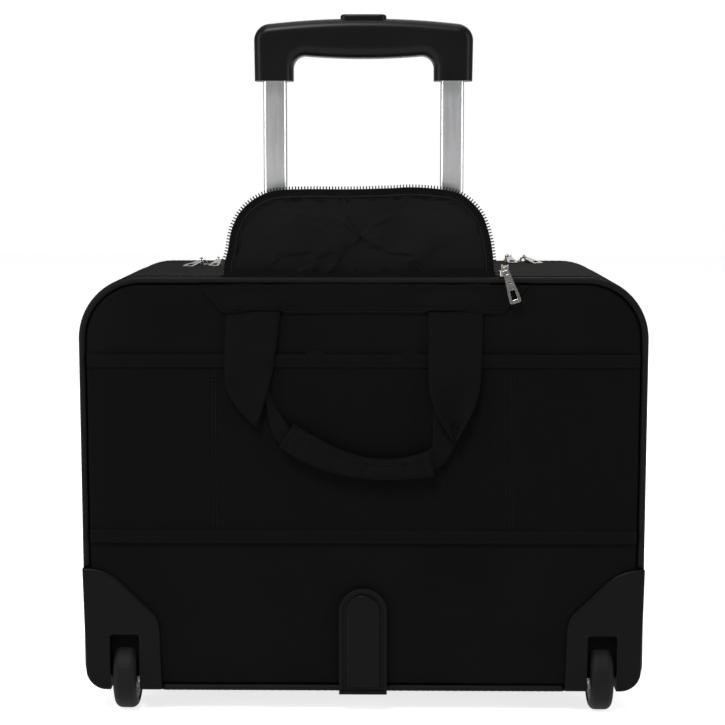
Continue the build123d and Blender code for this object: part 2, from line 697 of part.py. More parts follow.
with BuildPart() as skid_rail:
    extrude(skid_arch(-104.2, 0), amount=4.1)
    extrude(skid_arch(-106.6, 2.5), amount=5, mode=Mode.SUBTRACT)
    extrude(skid_arch(-104.5, 5.5), amount=4.3)
    fillet(skid_rail.edges().group_by(Axis.Y)[0], radius=1.5)
    with BuildSketch(Plane.YZ.offset(-SKID_HALF)):
        with BuildLine():
            Polyline((-107, SKID_BOTTOM), (-60, SKID_BOTTOM), (-60, 19.9), (-98.6, 19.9), (-98.6, 17.3),
                     (-104.2, 17.3), (-104.2, 22), (-107, 22), close=True)
        make_face()
    extrude(amount=2 * SKID_HALF)
    with BuildSketch(upright(-FACE_Y)):
        with Locations(*SKID_SCREWS):
            Circle(SCREW_HOLE)
    extrude(amount=SKID_BORE, mode=Mode.SUBTRACT)
save(skid_rail, "skid_rail")

with BuildPart() as front_feet:
    for foot_place in FOOT_SCREWS:
        with BuildSketch(Plane.XY):
            with Locations(foot_place):
                RectangleRounded(40, 20, 6)
        with BuildSketch(Plane.XY.offset(CASE_BOTTOM)):
            with Locations(foot_place):
                RectangleRounded(52, 30, 8)
        loft()
    with BuildSketch(Plane.XY):
        with Locations(*FOOT_SCREWS):
            Circle(SCREW_HEAD + 0.3)
    extrude(amount=8, mode=Mode.SUBTRACT)
    with BuildSketch(Plane.XY):
        with Locations(*FOOT_SCREWS):
            Circle(SCREW_HOLE)
    extrude(amount=30, mode=Mode.SUBTRACT)
save(front_feet, "front_feet")

with BuildPart() as case_screws:
    head_front = BACK_BOARD_Y + BOARD_THICK + SCREW_HEAD_HEIGHT + 0.1
    with BuildSketch(upright(head_front)):
        with Locations(*SKID_SCREWS):
            Circle(SCREW_HEAD)
            RegularPolygon(HEX_KEY, 6, mode=Mode.SUBTRACT)
    extrude(amount=SCREW_HEAD_HEIGHT)
    with BuildSketch(upright(head_front - 1)):
        with Locations(*SKID_SCREWS):
            Circle(SCREW_RADIUS)
    extrude(amount=head_front - 1 + FACE_Y + SKID_BORE - 0.2)
    with BuildSketch(Plane.XY.offset(FOOT_HEAD_Z)):
        with Locations(*FOOT_SCREWS):
            Circle(SCREW_HEAD)
            RegularPolygon(HEX_KEY, 6, mode=Mode.SUBTRACT)
    extrude(amount=SCREW_HEAD_HEIGHT)
    with BuildSketch(Plane.XY.offset(FOOT_HEAD_Z + 1)):
        with Locations(*FOOT_SCREWS):
            Circle(SCREW_RADIUS)
    extrude(amount=FOOT_BOTTOM - FOOT_HEAD_Z - 1.2)
    with BuildSketch(Plane.XY.offset(SOCKET_FLOOR + 0.1)):
        with Locations(*BRACKET_SCREWS):
            Circle(SCREW_HEAD)
            RegularPolygon(HEX_KEY, 6, mode=Mode.SUBTRACT)
    extrude(amount=SCREW_HEAD_HEIGHT)
    with BuildSketch(Plane.XY.offset(CASE_BOTTOM + 0.5)):
        with Locations(*BRACKET_SCREWS):
            Circle(SCREW_RADIUS)
    extrude(amount=SOCKET_FLOOR - CASE_BOTTOM + 0.5)
save(case_screws, "case_screws")

# =====================================================================
# Hinged organizer section (lid) and front door
# =====================================================================

LID_REAR = MAIN_ZIP_Y + MAIN_ZIP_HALF
LID_FRONT = FRONT_ZIP_Y - FRONT_ZIP_HALF
DOOR_REAR = FRONT_ZIP_Y + FRONT_ZIP_HALF


def section_ring(rear, front):
    """Closed gusset frame of a hinged section between two depths."""
    with BuildPart() as ring:
        extrude(upper_outline(front, 0), amount=front - rear)
        extrude(upper_outline(front + 1, SECTION_WALL), amount=front - rear + 2, mode=Mode.SUBTRACT)
    return ring


lid_gusset = section_ring(LID_REAR, LID_FRONT)
save(lid_gusset, "lid_gusset")
door_gusset = section_ring(DOOR_REAR, GUSSET_Y)
save(door_gusset, "door_gusset")

with BuildPart() as lid_partition:
    extrude(upper_outline(LID_REAR + 3, SECTION_WALL + LINING_GAP), amount=3)
save(lid_partition, "lid_partition")

with BuildPart() as organizer_pocket:
    with BuildSketch(Plane.XY.offset(106)):
        with Locations((0, LID_REAR + 13.2)):
            Rectangle(300, 20)
    extrude(amount=124)
    with BuildSketch(Plane.XY.offset(108)):
        with Locations((-74.5, LID_REAR + 11.2), (74.5, LID_REAR + 11.2)):
            Rectangle(147, 20)
    extrude(amount=124, mode=Mode.SUBTRACT)
save(organizer_pocket, "organizer_pocket")

with BuildPart() as door_panel:
    extrude(upper_outline(FACE_Y, PANEL_INSET), amount=PANEL_THICK)
save(door_panel, "door_panel")

door_arch = piping_run(PIPING_Y, case_corner_run(UPPER_BOTTOM + 0.5), TOP_RADIUS)
with BuildPart() as door_piping:
    with BuildSketch(Plane(origin=door_arch @ 0, z_dir=door_arch % 0)):
        Circle(PIPING_RADIUS)
    sweep(path=door_arch)
save(door_piping, "door_piping")


def zip_tape(rear, front):
    """One woven zip tape over the sides and top of a section edge."""
    with BuildPart() as tape:
        extrude(upper_outline(front, TAPE_INSET), amount=front - rear)
        hollow = upper_outline(front + 1, TAPE_INSET + TAPE_THICK)
        extrude(hollow, amount=front - rear + 2, mode=Mode.SUBTRACT)
        split(bisect_by=Plane.XY.offset(TAPE_START_Z), keep=Keep.TOP)
    return tape.part


with BuildPart() as lid_zip_tapes:
    add(zip_tape(MAIN_ZIP_Y + TAPE_SPLIT, LID_REAR))
    add(zip_tape(LID_FRONT, FRONT_ZIP_Y - TAPE_SPLIT))
save(lid_zip_tapes, "lid_zip_tapes")

with BuildPart() as door_zip_tape:
    add(zip_tape(FRONT_ZIP_Y + TAPE_SPLIT, DOOR_REAR))
save(door_zip_tape, "door_zip_tape")

with BuildPart() as front_pocket:
    with BuildSketch(upright(FACE_Y + 4.1)):
        with Locations((0, 187.0)):
            RectangleRounded(330, 150, 16)
    extrude(amount=4)
    fillet(front_pocket.faces().sort_by(Axis.Y)[-1].edges(), radius=2)
save(front_pocket, "front_pocket")

with BuildPart() as door_trim:
    with BuildSketch(upright(FACE_Y + 4.1)):
        with Locations((0, 316.5)):
            Rectangle(250, 43)
    extrude(amount=4)
    chamfer(door_trim.edges().filter_by(Axis.Y).group_by(Axis.Z)[0], length=16)
save(door_trim, "door_trim")

# =====================================================================
# Handle bay flap
# =====================================================================

with BuildPart() as bay_flap:
    with BuildSketch(upright(FLAP_FRONT)):
        with BuildLine():
            FilletPolyline(
                (-BAY_HALF, FLAP_BOTTOM), (BAY_HALF, FLAP_BOTTOM),
                (BAY_HALF, FLAP_TOP), (-BAY_HALF, FLAP_TOP),
                radius=[1, 1, FLAP_RADIUS, FLAP_RADIUS], close=True,
            )
        make_face()
    extrude(amount=FLAP_THICK)
    fillet(bay_flap.faces().sort_by(Axis.Y)[0].edges(), radius=2)
save(bay_flap, "bay_flap")

# =====================================================================
# Webbing carry handles
# =====================================================================

LEG_END = 263.0


def carry_handle(facing, near):
    """A hanging webbing handle: facing is -1 at the rear and 1 at the front, near its inner depth."""

    def layer(thick):
        return upright(facing * (near if facing < 0 else near + thick))

    with BuildPart() as handle:
        with BuildSketch(layer(WEBBING_THICK)):
            leg_middle = (HANDLE_TOP + LEG_END) / 2
            with Locations((LEFT_LEG_X, leg_middle), (RIGHT_LEG_X, leg_middle)):
                Rectangle(WEBBING_WIDTH, HANDLE_TOP - LEG_END)
            with BuildLine():
                Polyline(
                    (-103.9, LEG_END), (-62.9, LEG_END), (-52, 226), (-62, 208), (-82, 229), close=True,
                )
            make_face()
            with BuildLine():
                Polyline(
                    (49.9, LEG_END), (90.9, LEG_END), (84, 232), (72, 196), (48, 196), (50, 212), close=True,
                )
            make_face()
        extrude(amount=WEBBING_THICK)
        with BuildSketch(layer(GRIP_WRAP_DEPTH)):
            with BuildLine():
                lower = ThreePointArc((-61, 209), (5, 187), (57, 192))
                upper = ThreePointArc((-53, 229), (4, 207), (56, 212))
                Line(lower @ 0, upper @ 0)
                Line(lower @ 1, upper @ 1)
            make_face()
        extrude(amount=GRIP_WRAP_DEPTH)
    return handle


rear_handle = carry_handle(-1, REAR_HANDLE_Y)
save(rear_handle, "rear_handle")
front_handle = carry_handle(1, FRONT_HANDLE_Y)
save(front_handle, "front_handle")

# =====================================================================
# Zip sliders and their pulls
# =====================================================================


def zip_slider(x, y, base_z, pivot):
    """Slider body with two ears and a cross pin at the pivot (y, z)."""
    width, length, height = SLIDER_BODY
    with BuildPart() as slider:
        with BuildSketch(Plane.XY.offset(base_z)):
            with Locations((x, y)):
                RectangleRounded(width, length, 2.5)
        extrude(amount=height)
        for side in (-1, 1):
            with BuildSketch(Plane.YZ.offset(x + side * EAR_X - EAR_THICK / 2)):
                with Locations((pivot[0], base_z + height - 0.5 + (pivot[1] - base_z - height + 2) / 2)):
                    RectangleRounded(3.4, pivot[1] - base_z - height + 2.0, 0.8)
            extrude(amount=EAR_THICK)
        with BuildSketch(Plane.YZ.offset(x - EAR_X)):
            with Locations(pivot):
                Circle(SLIDER_PIN)
        extrude(amount=2 * EAR_X)
    return slider


def zip_pull(x, pivot, tip):
    """Flat pull that hangs from the pin at the pivot (y, z) towards the tip (y, z)."""
    reach = Vector(0, tip[0] - pivot[0], tip[1] - pivot[1]).normalized()
    flat = Plane(origin=(x, pivot[0], pivot[1]), x_dir=(1, 0, 0), z_dir=Vector(1, 0, 0).cross(reach))
    with BuildPart() as pull:
        with BuildSketch(flat):
            with Locations((0, 6.0)):
                Rectangle(2.6, 9.0)
            with Locations((0, 18.5)):
                RectangleRounded(PULL_WIDTH, PULL_LENGTH - 10, 2.6)
            with Locations((0, 20.5)):
                RectangleRounded(3.0, 8.0, 0.8, mode=Mode.SUBTRACT)
        extrude(amount=PULL_THICK / 2, both=True)
        with BuildSketch(Plane.YZ.offset(x - 1.3)):
            with Locations(pivot):
                Circle(2.0)
        extrude(amount=2.6)
        with BuildSketch(Plane.YZ.offset(x - 5)):
            with Locations(pivot):
                Circle(SLIDER_PIN + 0.1)
        extrude(amount=10, mode=Mode.SUBTRACT)
    return pull


ZIP_PIVOT_Z = CASE_TOP + 0.3 + SLIDER_BODY[2] + 2.6
MAIN_SLIDER_X = -124.0
FRONT_SLIDER_X = 124.0
FLAP_SLIDER_X = 108.0
FLAP_SLIDER_Y = -97.4
FLAP_PIVOT = (-103.4, 352.0)
FLAP_PULL_TIP = (-110.0, 326.0)

SLIDER_BASE_Z = CASE_TOP + 0.3
main_pivot = (MAIN_ZIP_Y, ZIP_PIVOT_Z)
front_pivot = (FRONT_ZIP_Y, ZIP_PIVOT_Z)
PULL_REACH = (-26.0, -3.4)

save(zip_slider(MAIN_SLIDER_X, MAIN_ZIP_Y, SLIDER_BASE_Z, main_pivot), "main_slider")
main_tip = (MAIN_ZIP_Y + PULL_REACH[0], ZIP_PIVOT_Z + PULL_REACH[1])
save(zip_pull(MAIN_SLIDER_X, main_pivot, main_tip), "main_pull")
save(zip_slider(FRONT_SLIDER_X, FRONT_ZIP_Y, SLIDER_BASE_Z, front_pivot), "front_slider")
front_tip = (FRONT_ZIP_Y + PULL_REACH[0], ZIP_PIVOT_Z + PULL_REACH[1])
save(zip_pull(FRONT_SLIDER_X, front_pivot, front_tip), "front_pull")
save(zip_slider(FLAP_SLIDER_X, FLAP_SLIDER_Y, FLAP_BOTTOM, FLAP_PIVOT), "flap_slider")
save(zip_pull(FLAP_SLIDER_X, FLAP_PIVOT, FLAP_PULL_TIP), "flap_pull")

# =====================================================================
# Side rings
# =====================================================================

with BuildPart() as d_ring_tabs:
    with BuildSketch(upright(RING_Y + 11)):
        with Locations((RING_X, RING_Z)):
            Circle(4.2)
        with Locations((CASE_HALF + 1.7, RING_Z + 7)):
            Rectangle(3, 14)
        with Locations((RING_X, RING_Z)):
            Circle(RING_WIRE + 0.1, mode=Mode.SUBTRACT)
    extrude(amount=22)
    mirror(about=Plane.YZ)
save(d_ring_tabs, "d_ring_tabs")

for side, label in ((-1, "left"), (1, "right")):
    with BuildPart() as d_ring:
        with BuildLine(Plane.YZ.offset(side * RING_X)) as ring_path:
            FilletPolyline(
                (RING_Y, RING_Z), (RING_Y + 14, RING_Z), (RING_Y + 14, RING_Z - 20),
                (RING_Y - 14, RING_Z - 20), (RING_Y - 14, RING_Z),
                radius=[0, 3, 11, 11, 3], close=True,
            )
        with BuildSketch(Plane(origin=ring_path.line @ 0, z_dir=ring_path.line % 0)):
            Circle(RING_WIRE)
        sweep()
    save(d_ring, f"d_ring_{label}")
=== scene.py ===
import json
import math

import bpy
import numpy as np
from mathutils import Matrix, Vector


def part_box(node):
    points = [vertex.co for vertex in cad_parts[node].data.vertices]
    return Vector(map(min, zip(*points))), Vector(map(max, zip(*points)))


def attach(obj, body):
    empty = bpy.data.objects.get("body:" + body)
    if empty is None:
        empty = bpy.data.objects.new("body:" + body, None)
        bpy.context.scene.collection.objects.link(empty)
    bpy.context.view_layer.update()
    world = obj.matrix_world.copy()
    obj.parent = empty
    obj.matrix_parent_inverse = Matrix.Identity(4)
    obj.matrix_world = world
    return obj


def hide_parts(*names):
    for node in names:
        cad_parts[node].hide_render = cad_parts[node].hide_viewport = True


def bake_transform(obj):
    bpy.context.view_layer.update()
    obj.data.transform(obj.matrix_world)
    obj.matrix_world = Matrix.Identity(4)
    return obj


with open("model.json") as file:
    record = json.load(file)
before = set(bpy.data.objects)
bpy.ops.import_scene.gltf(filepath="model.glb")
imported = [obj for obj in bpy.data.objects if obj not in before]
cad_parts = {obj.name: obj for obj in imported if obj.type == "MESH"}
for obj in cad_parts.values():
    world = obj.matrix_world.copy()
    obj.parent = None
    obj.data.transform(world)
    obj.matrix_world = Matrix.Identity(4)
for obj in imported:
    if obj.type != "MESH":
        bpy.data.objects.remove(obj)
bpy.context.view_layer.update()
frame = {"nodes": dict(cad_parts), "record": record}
MM = 0.001

# ---- the case's own sizes, in metres, read from the CAD boxes ----
panel_low, panel_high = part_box("rear_panel")
cord_low, cord_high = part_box("piping_cords")
flap_low, flap_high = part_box("bay_flap")
door_low, door_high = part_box("door_gusset")
lid_low, lid_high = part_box("lid_gusset")
shell_low, shell_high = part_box("main_gusset")
tyre_low, tyre_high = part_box("tyre_right")
HALF = shell_high.x
TOP = shell_high.z
BOTTOM = shell_low.z
R_TOP = 46 * MM
R_BOTTOM = 18 * MM
PIPING_R = 2.5 * MM
PIPING_Y = cord_high.y - PIPING_R
PANEL_INSET = HALF - panel_high.x
UPPER_Z = door_low.z
BASE_RIM_Z = 98 * MM
MAIN_ZIP_Y = lid_low.y - 2 * MM
FRONT_ZIP_Y = lid_high.y + 1 * MM
BAND_HALF = 212.5 * MM
BAND_LOW = 136.7 * MM
BAND_HIGH = 285 * MM
TAPE_W = 10.7 * MM


# =====================================================================
# Camera, light and floor
# =====================================================================

def aim_camera():
    """A long lens a little above the case, square to its rear face."""
    pitch = math.radians(7)
    yaw = math.radians(0.81)
    data = bpy.data.cameras.new("camera")
    data.lens = 84.66
    data.sensor_width = 36
    camera = bpy.data.objects.new("camera", data)
    camera.location = (0.018, -1.404, 0.438)
    camera.rotation_euler = (math.pi / 2 - pitch, 0, yaw)
    bpy.context.collection.objects.link(camera)
    bpy.context.scene.camera = camera


def soft_light(name, place, size, power, target=(0, 0, 0.28)):
    data = bpy.data.lights.new(name, "AREA")
    data.shape = "RECTANGLE"
    data.size = size[0]
    data.size_y = size[1]
    data.energy = power
    lamp = bpy.data.objects.new(name, data)
    lamp.location = place
    lamp.rotation_euler = (Vector(target) - Vector(place)).to_track_quat("-Z", "Y").to_euler()
    bpy.context.collection.objects.link(lamp)


def studio():
    """A white backdrop, and soft light that is stronger from behind the case, so that its edges catch it."""
    world = bpy.data.worlds.new("studio")
    world.use_nodes = True
    tree = world.node_tree
    coords = tree.nodes.new("ShaderNodeTexCoord")
    parts = tree.nodes.new("ShaderNodeSeparateXYZ")
    level = tree.nodes.new("ShaderNodeMapRange")
    level.interpolation_type = "SMOOTHSTEP"
    for socket, value in ((1, -0.75), (2, 0.15), (3, 0.12), (4, 0.34)):
        level.inputs[socket].default_value = value
    backdrop = tree.nodes.new("ShaderNodeMath")
    backdrop.operation = "MAXIMUM"
    tree.links.new(level.outputs[0], backdrop.inputs[0])
    tree.links.new(tree.nodes.new("ShaderNodeLightPath").outputs["Is Camera Ray"], backdrop.inputs[1])
    tree.links.new(coords.outputs["Generated"], parts.inputs[0])
    tree.links.new(parts.outputs["Y"], level.inputs[0])
    tree.nodes["Background"].inputs[0].default_value = (1, 1, 1, 1)
    tree.links.new(backdrop.outputs[0], tree.nodes["Background"].inputs[1])
    bpy.context.scene.world = world
    soft_light("key", (-0.5, -1.5, 2.3), (0.9, 0.7), 78)
    soft_light("left", (-1.9, -0.9, 0.9), (0.5, 1.6), 24)
    soft_light("right", (1.9, -0.9, 0.9), (0.5, 1.6), 20)
    soft_light("top", (0.0, 0.2, 2.3), (1.6, 1.6), 20)
    soft_light("back", (0.4, 2.0, 1.9), (1.6, 1.2), 20)
    bpy.context.scene.view_settings.view_transform = "Standard"


# =====================================================================
# Materials
# =====================================================================

class Nodes:
    """Small helper that adds and links shader nodes."""

    def __init__(self, name):
        self.material = bpy.data.materials.new(name)
        self.material.use_nodes = True
        self.tree = self.material.node_tree
        self.shader = self.tree.nodes["Principled BSDF"]
        coords = self.tree.nodes.new("ShaderNodeTexCoord")
        self.place = coords.outputs["Object"]
        self.normal = coords.outputs["Normal"]

    def add(self, kind, **inputs):
        node = self.tree.nodes.new(kind)
        for key, value in inputs.items():
            socket = node.inputs[int(key[1:])] if key[0] == "i" and key[1:].isdigit() else node.inputs[key]
            self.feed(socket, value)
        return node

    def feed(self, socket, value):
        if isinstance(value, bpy.types.NodeSocket):
            self.tree.links.new(value, socket)
        else:
            socket.default_value = value

    def math(self, operation, a, b=0.0, c=0.0):
        node = self.add("ShaderNodeMath", i0=a, i1=b, i2=c)
        node.operation = operation
        return node.outputs[0]

    def split(self, vector):
        return self.add("ShaderNodeSeparateXYZ", i0=vector).outputs

    def noise(self, scale, detail=3.0, rough=0.55, vector=None):
        node = self.add("ShaderNodeTexNoise", Vector=vector or self.place, Scale=scale, Detail=detail, Roughness=rough)
        return node.outputs["Fac"]

    def ramp(self, value, dark, light, low=0.3, high=0.7):
        node = self.add("ShaderNodeValToRGB", Fac=value)
        stops = node.color_ramp.elements
        stops[0].position = low
        stops[0].color = (*dark, 1)
        stops[1].position = high
        stops[1].color = (*light, 1)
        return node.outputs["Color"]

    def level(self, value, low, high):
        return self.add("ShaderNodeMapRange", Value=value, i3=low, i4=high).outputs[0]

    def bump(self, height, strength, distance, below=None):
        node = self.add("ShaderNodeBump", Strength=strength, Distance=distance, Height=height)
        if below is not None:
            self.feed(node.inputs["Normal"], below)
        return node.outputs["Normal"]

    def finish(self, color, rough, normal=None, **constants):
        self.feed(self.shader.inputs["Base Color"], color)
        self.feed(self.shader.inputs["Roughness"], rough)
        if normal is not None:
            self.feed(self.shader.inputs["Normal"], normal)
        for key, value in constants.items():
            self.shader.inputs[key.replace("_", " ")].default_value = value
        return self.material


def shade(level, warm=1.0):
    return (level * warm, level, level * (2 - warm))


def woven_height(n, pitch):
    """Height of a plain weave that follows whichever way the surface faces."""
    k = 2 * math.pi / pitch
    x, y, z = (n.math("SINE", n.math("MULTIPLY", axis, k)) for axis in n.split(n.place))
    facing = [n.math("POWER", n.math("ABSOLUTE", axis), 2.0) for axis in n.split(n.normal)]
    over_x = n.math("MULTIPLY", n.math("MULTIPLY", y, z), facing[0])
    over_y = n.math("MULTIPLY", n.math("MULTIPLY", x, z), facing[1])
    over_z = n.math("MULTIPLY", n.math("MULTIPLY", x, y), facing[2])
    return n.math("ADD", n.math("ADD", over_x, over_y), over_z)


def fabric(name, level, pitch, bump=0.35, rough=0.72, warm=1.02, spread=0.35, sheen=0.004, spec=0.02):
    """Heavy woven nylon: a fine weave, faint slubs and a slight change of tone over the cloth."""
    n = Nodes(name)
    weave = woven_height(n, pitch)
    slub = n.noise(900, 2)
    broad = n.noise(14, 3)
    tone = n.math("ADD", n.math("MULTIPLY", broad, 0.6), n.math("MULTIPLY", n.level(weave, 0.0, 1.0), 0.4))
    color = n.ramp(tone, shade(level * (1 - spread), warm), shade(level * (1 + spread), warm), 0.2, 0.8)
    normal = n.bump(broad, 0.10, 2 * MM)
    normal = n.bump(n.math("ADD", weave, slub), bump, 0.35 * MM, normal)
    rough_map = n.level(broad, rough - 0.06, rough + 0.08)
    return n.finish(color, rough_map, normal, Sheen_Weight=sheen, Sheen_Roughness=0.4, Specular_IOR_Level=spec)


def ribbed(name, level, pitch, axis, cross_pitch, bump=0.6, rough=0.7, spec=0.02, depth=0.45):
    """Cloth with raised ribs: axis is the one that the pitch is counted along."""
    n = Nodes(name)
    sockets = dict(zip("xyz", n.split(n.place)))
    rib = n.math("ABSOLUTE", n.math("SINE", n.math("MULTIPLY", sockets[axis[0]], math.pi / pitch)))
    cross = n.math("SINE", n.math("MULTIPLY", sockets[axis[1]], 2 * math.pi / cross_pitch))
    broad = n.noise(18, 3)
    streak = n.noise(300, 1, vector=n.add("ShaderNodeCombineXYZ", i0=sockets[axis[0]], i1=0.0, i2=0.0).outputs[0])
    tone = n.math("ADD", n.math("MULTIPLY", rib, 0.45), n.math("MULTIPLY", broad, 0.3))
    tone = n.math("ADD", tone, n.math("MULTIPLY", streak, 0.25))
    color = n.ramp(tone, shade(level * 0.7, 1.02), shade(level * 1.3, 1.02), 0.15, 0.85)
    height = n.math("ADD", rib, n.math("MULTIPLY", cross, 0.18))
    normal = n.bump(broad, 0.1, 1.5 * MM)
    normal = n.bump(height, bump, depth * MM, normal)
    return n.finish(color, n.level(broad, rough - 0.05, rough + 0.1), normal, Sheen_Weight=0.004,
                    Specular_IOR_Level=spec)


def moulded(name, level, rough=0.42, grain=1400, bump=0.12, spec=0.22):
    """Moulded plastic with a fine spark-eroded grain and a little handling wear."""
    n = Nodes(name)
    fine = n.noise(grain, 2)
    broad = n.noise(22, 4)
    color = n.ramp(broad, shade(level * 0.85), shade(level * 1.15))
    normal = n.bump(fine, bump, 0.2 * MM)
    return n.finish(color, n.level(broad, rough - 0.06, rough + 0.08), normal, Specular_IOR_Level=spec)


def metal(name, color, rough, stretch=(1, 1, 0.02), scale=900, bump=0.06):
    """Metal with a faint grain drawn out along one way."""
    n = Nodes(name)
    drawn = n.add("ShaderNodeMapping", Vector=n.place, Scale=stretch).outputs[0]
    grain = n.noise(scale, 2, vector=drawn)
    broad = n.noise(30, 3)
    tint = n.ramp(broad, tuple(c * 0.9 for c in color), color)
    normal = n.bump(grain, bump, 0.1 * MM)
    return n.finish(tint, n.level(grain, rough - 0.05, rough + 0.08), normal, Metallic=1.0)


def rubber(name, level):
    n = Nodes(name)
    fine = n.noise(700, 3)
    broad = n.noise(40, 4)
    color = n.ramp(broad, shade(level * 0.7), shade(level * 1.5))
    normal = n.bump(fine, 0.2, 0.3 * MM)
    return n.finish(color, n.level(broad, 0.5, 0.75), normal, Specular_IOR_Level=0.09)


MATERIALS = {
    "ballistic_nylon": fabric("ballistic_nylon", 0.0026, 1.5 * MM),
    "flap_nylon": fabric("flap_nylon", 0.0048, 1.1 * MM, bump=0.25),
    "ribbed_nylon": ribbed("ribbed_nylon", 0.0018, 1.3 * MM, "xz", 1.3 * MM, bump=0.35, depth=0.3),
    "webbing": ribbed("webbing", 0.0022, 1.5 * MM, "zx", 2.4 * MM, bump=0.5, depth=0.3),
    "wrap_webbing": ribbed("wrap_webbing", 0.0024, 1.5 * MM, "xz", 2.2 * MM, bump=0.4, depth=0.25),
    "grosgrain": ribbed("grosgrain", 0.0020, 1.0 * MM, "xz", 2.0 * MM, bump=0.4, depth=0.25),
    "edge_tape": fabric("edge_tape", 0.0026, 1.0 * MM, bump=0.3),
    "piping_vinyl": fabric("piping_vinyl", 0.0030, 1.1 * MM, bump=0.25, rough=0.55, spec=0.06),
    "thread": fabric("thread", 0.0042, 0.6 * MM, bump=0.3, rough=0.5, spec=0.05),
    "lining": fabric("lining", 0.040, 0.9 * MM, bump=0.2, sheen=0.05),
    "board": moulded("board", 0.014, rough=0.6),
    "moulded_black": moulded("moulded_black", 0.0018, rough=0.40, spec=0.055),
    "grip_black": moulded("grip_black", 0.0030, rough=0.34, grain=1100, bump=0.14, spec=0.09),
    "button_black": moulded("button_black", 0.0030, rough=0.32, spec=0.10),
    "bush_black": moulded("bush_black", 0.0040, rough=0.4, spec=0.10),
    "tube_aluminium": metal("tube_aluminium", (0.64, 0.645, 0.655), 0.30),
    "steel": metal("steel", (0.42, 0.42, 0.43), 0.3, (1, 1, 1)),
    "dark_metal": metal("dark_metal", (0.30, 0.29, 0.27), 0.26, (1, 1, 1), bump=0.03),
    "zip_teeth": moulded("zip_teeth", 0.0055, rough=0.3, grain=600, bump=0.03, spec=0.14),
    "wheel_rubber": rubber("wheel_rubber", 0.0034),
    "wheel_hub": moulded("wheel_hub", 0.0060, spec=0.10),
}


def dress_cad_nodes():
    """Gives every CAD node its material by the record's slot."""
    for row in frame["record"]["subparts"]:
        piece = frame["nodes"][row["node"]]
        piece.data.materials.clear()
        piece.data.materials.append(MATERIALS[row["material_slot"]])


# =====================================================================
# Mesh helpers
# =====================================================================

def piece(name, points, faces, material, body, smooth=True, slot=None, replaces=()):
    """Adds a mesh that rides on a body, or on none yet where body is None."""
    mesh = bpy.data.meshes.new(name)
    mesh.from_pydata([tuple(map(float, p)) for p in points], [], faces)
    mesh.validate()
    mesh.update()
    if smooth:
        mesh.shade_smooth()
    mesh.materials.append(MATERIALS[material])
    made = bpy.data.objects.new(name, mesh)
    bpy.context.collection.objects.link(made)
    if body:
        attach(made, body)
    if replaces:
        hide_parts(*replaces)
    return made


def grid_faces(rows, cols, close_rows=False, close_cols=False, flip=False):
    """Quads over a rows by cols grid of points, wrapped round where asked."""
    faces = []
    for r in range(rows if close_rows else rows - 1):
        for c in range(cols if close_cols else cols - 1):
            a = r * cols + c
            b = r * cols + (c + 1) % cols
            d = ((r + 1) % rows) * cols + c
            e = ((r + 1) % rows) * cols + (c + 1) % cols
            faces.append((a, d, e, b) if flip else (a, b, e, d))
    return faces


def arc(cx, cz, radius, start, end, step):
    count = max(3, int(abs(end - start) * radius / step) + 1)
    angles = np.linspace(start, end, count)
    return np.column_stack((cx + radius * np.cos(angles), cz + radius * np.sin(angles)))


def run(a, b, step):
    a, b = np.array(a, float), np.array(b, float)
    count = max(2, int(np.linalg.norm(b - a) / step) + 1)
    return a + (b - a) * np.linspace(0, 1, count)[:, None]


def join_runs(*runs):
    """Joins stretches of points and drops the doubled ones."""
    points = np.vstack(runs)
    keep = np.ones(len(points), bool)
    keep[1:] = np.linalg.norm(np.diff(points, axis=0), axis=1) > 1e-6
    return points[keep]


def rounded_loop(half, low, high, r_low, r_high, step=4 * MM):
    """Closed outline in x and z, anticlockwise from the middle of its bottom edge."""
    q = math.pi / 2
    loop = join_runs(
        run((0, low), (half - r_low, low), step),
        arc(half - r_low, low + r_low, r_low, -q, 0, step / 2),
        run((half, low + r_low), (half, high - r_high), step),
        arc(half - r_high, high - r_high, r_high, 0, q, step / 2),
        run((half - r_high, high), (r_high - half, high), step),
        arc(r_high - half, high - r_high, r_high, q, 2 * q, step / 2),
        run((-half, high - r_high), (-half, low + r_low), step),
        arc(r_low - half, low + r_low, r_low, 2 * q, 3 * q, step / 2),
        run((r_low - half, low), (0, low), step),
    )
    return loop[:-1]


def arch(half, low, high, radius, step=3 * MM):
    """Open outline up one side, over the top and down the other, from left to right."""
    q = math.pi / 2
    return join_runs(
        run((-half, low), (-half, high - radius), step),
        arc(radius - half, high - radius, radius, 2 * q, q, step / 2),
        run((radius - half, high), (half - radius, high), step),
        arc(half - radius, high - radius, radius, q, 0, step / 2),
        run((half, high - radius), (half, low), step),
    )


def sill(half, rim, low, radius, step=3 * MM):
    """Open outline down one side, along the bottom and up the other."""
    q = math.pi / 2
    return join_runs(
        run((-half, rim), (-half, low + radius), step),
        arc(radius - half, low + radius, radius, 2 * q, 3 * q, step / 2),
        run((radius - half, low), (half - radius, low), step),
        arc(half - radius, low + radius, radius, -q, 0, step / 2),
        run((half, low + radius), (half, rim), step),
    )


def even(points, pitch):
    """Points one pitch apart along a line."""
    points = np.asarray(points, float)
    legs = np.linalg.norm(np.diff(points, axis=0), axis=1)
    along = np.concatenate(([0], np.cumsum(legs)))
    count = max(2, int(along[-1] / pitch) + 1)
    spots = np.linspace(0, along[-1], count)
    return np.column_stack([np.interp(spots, along, points[:, i]) for i in range(points.shape[1])])


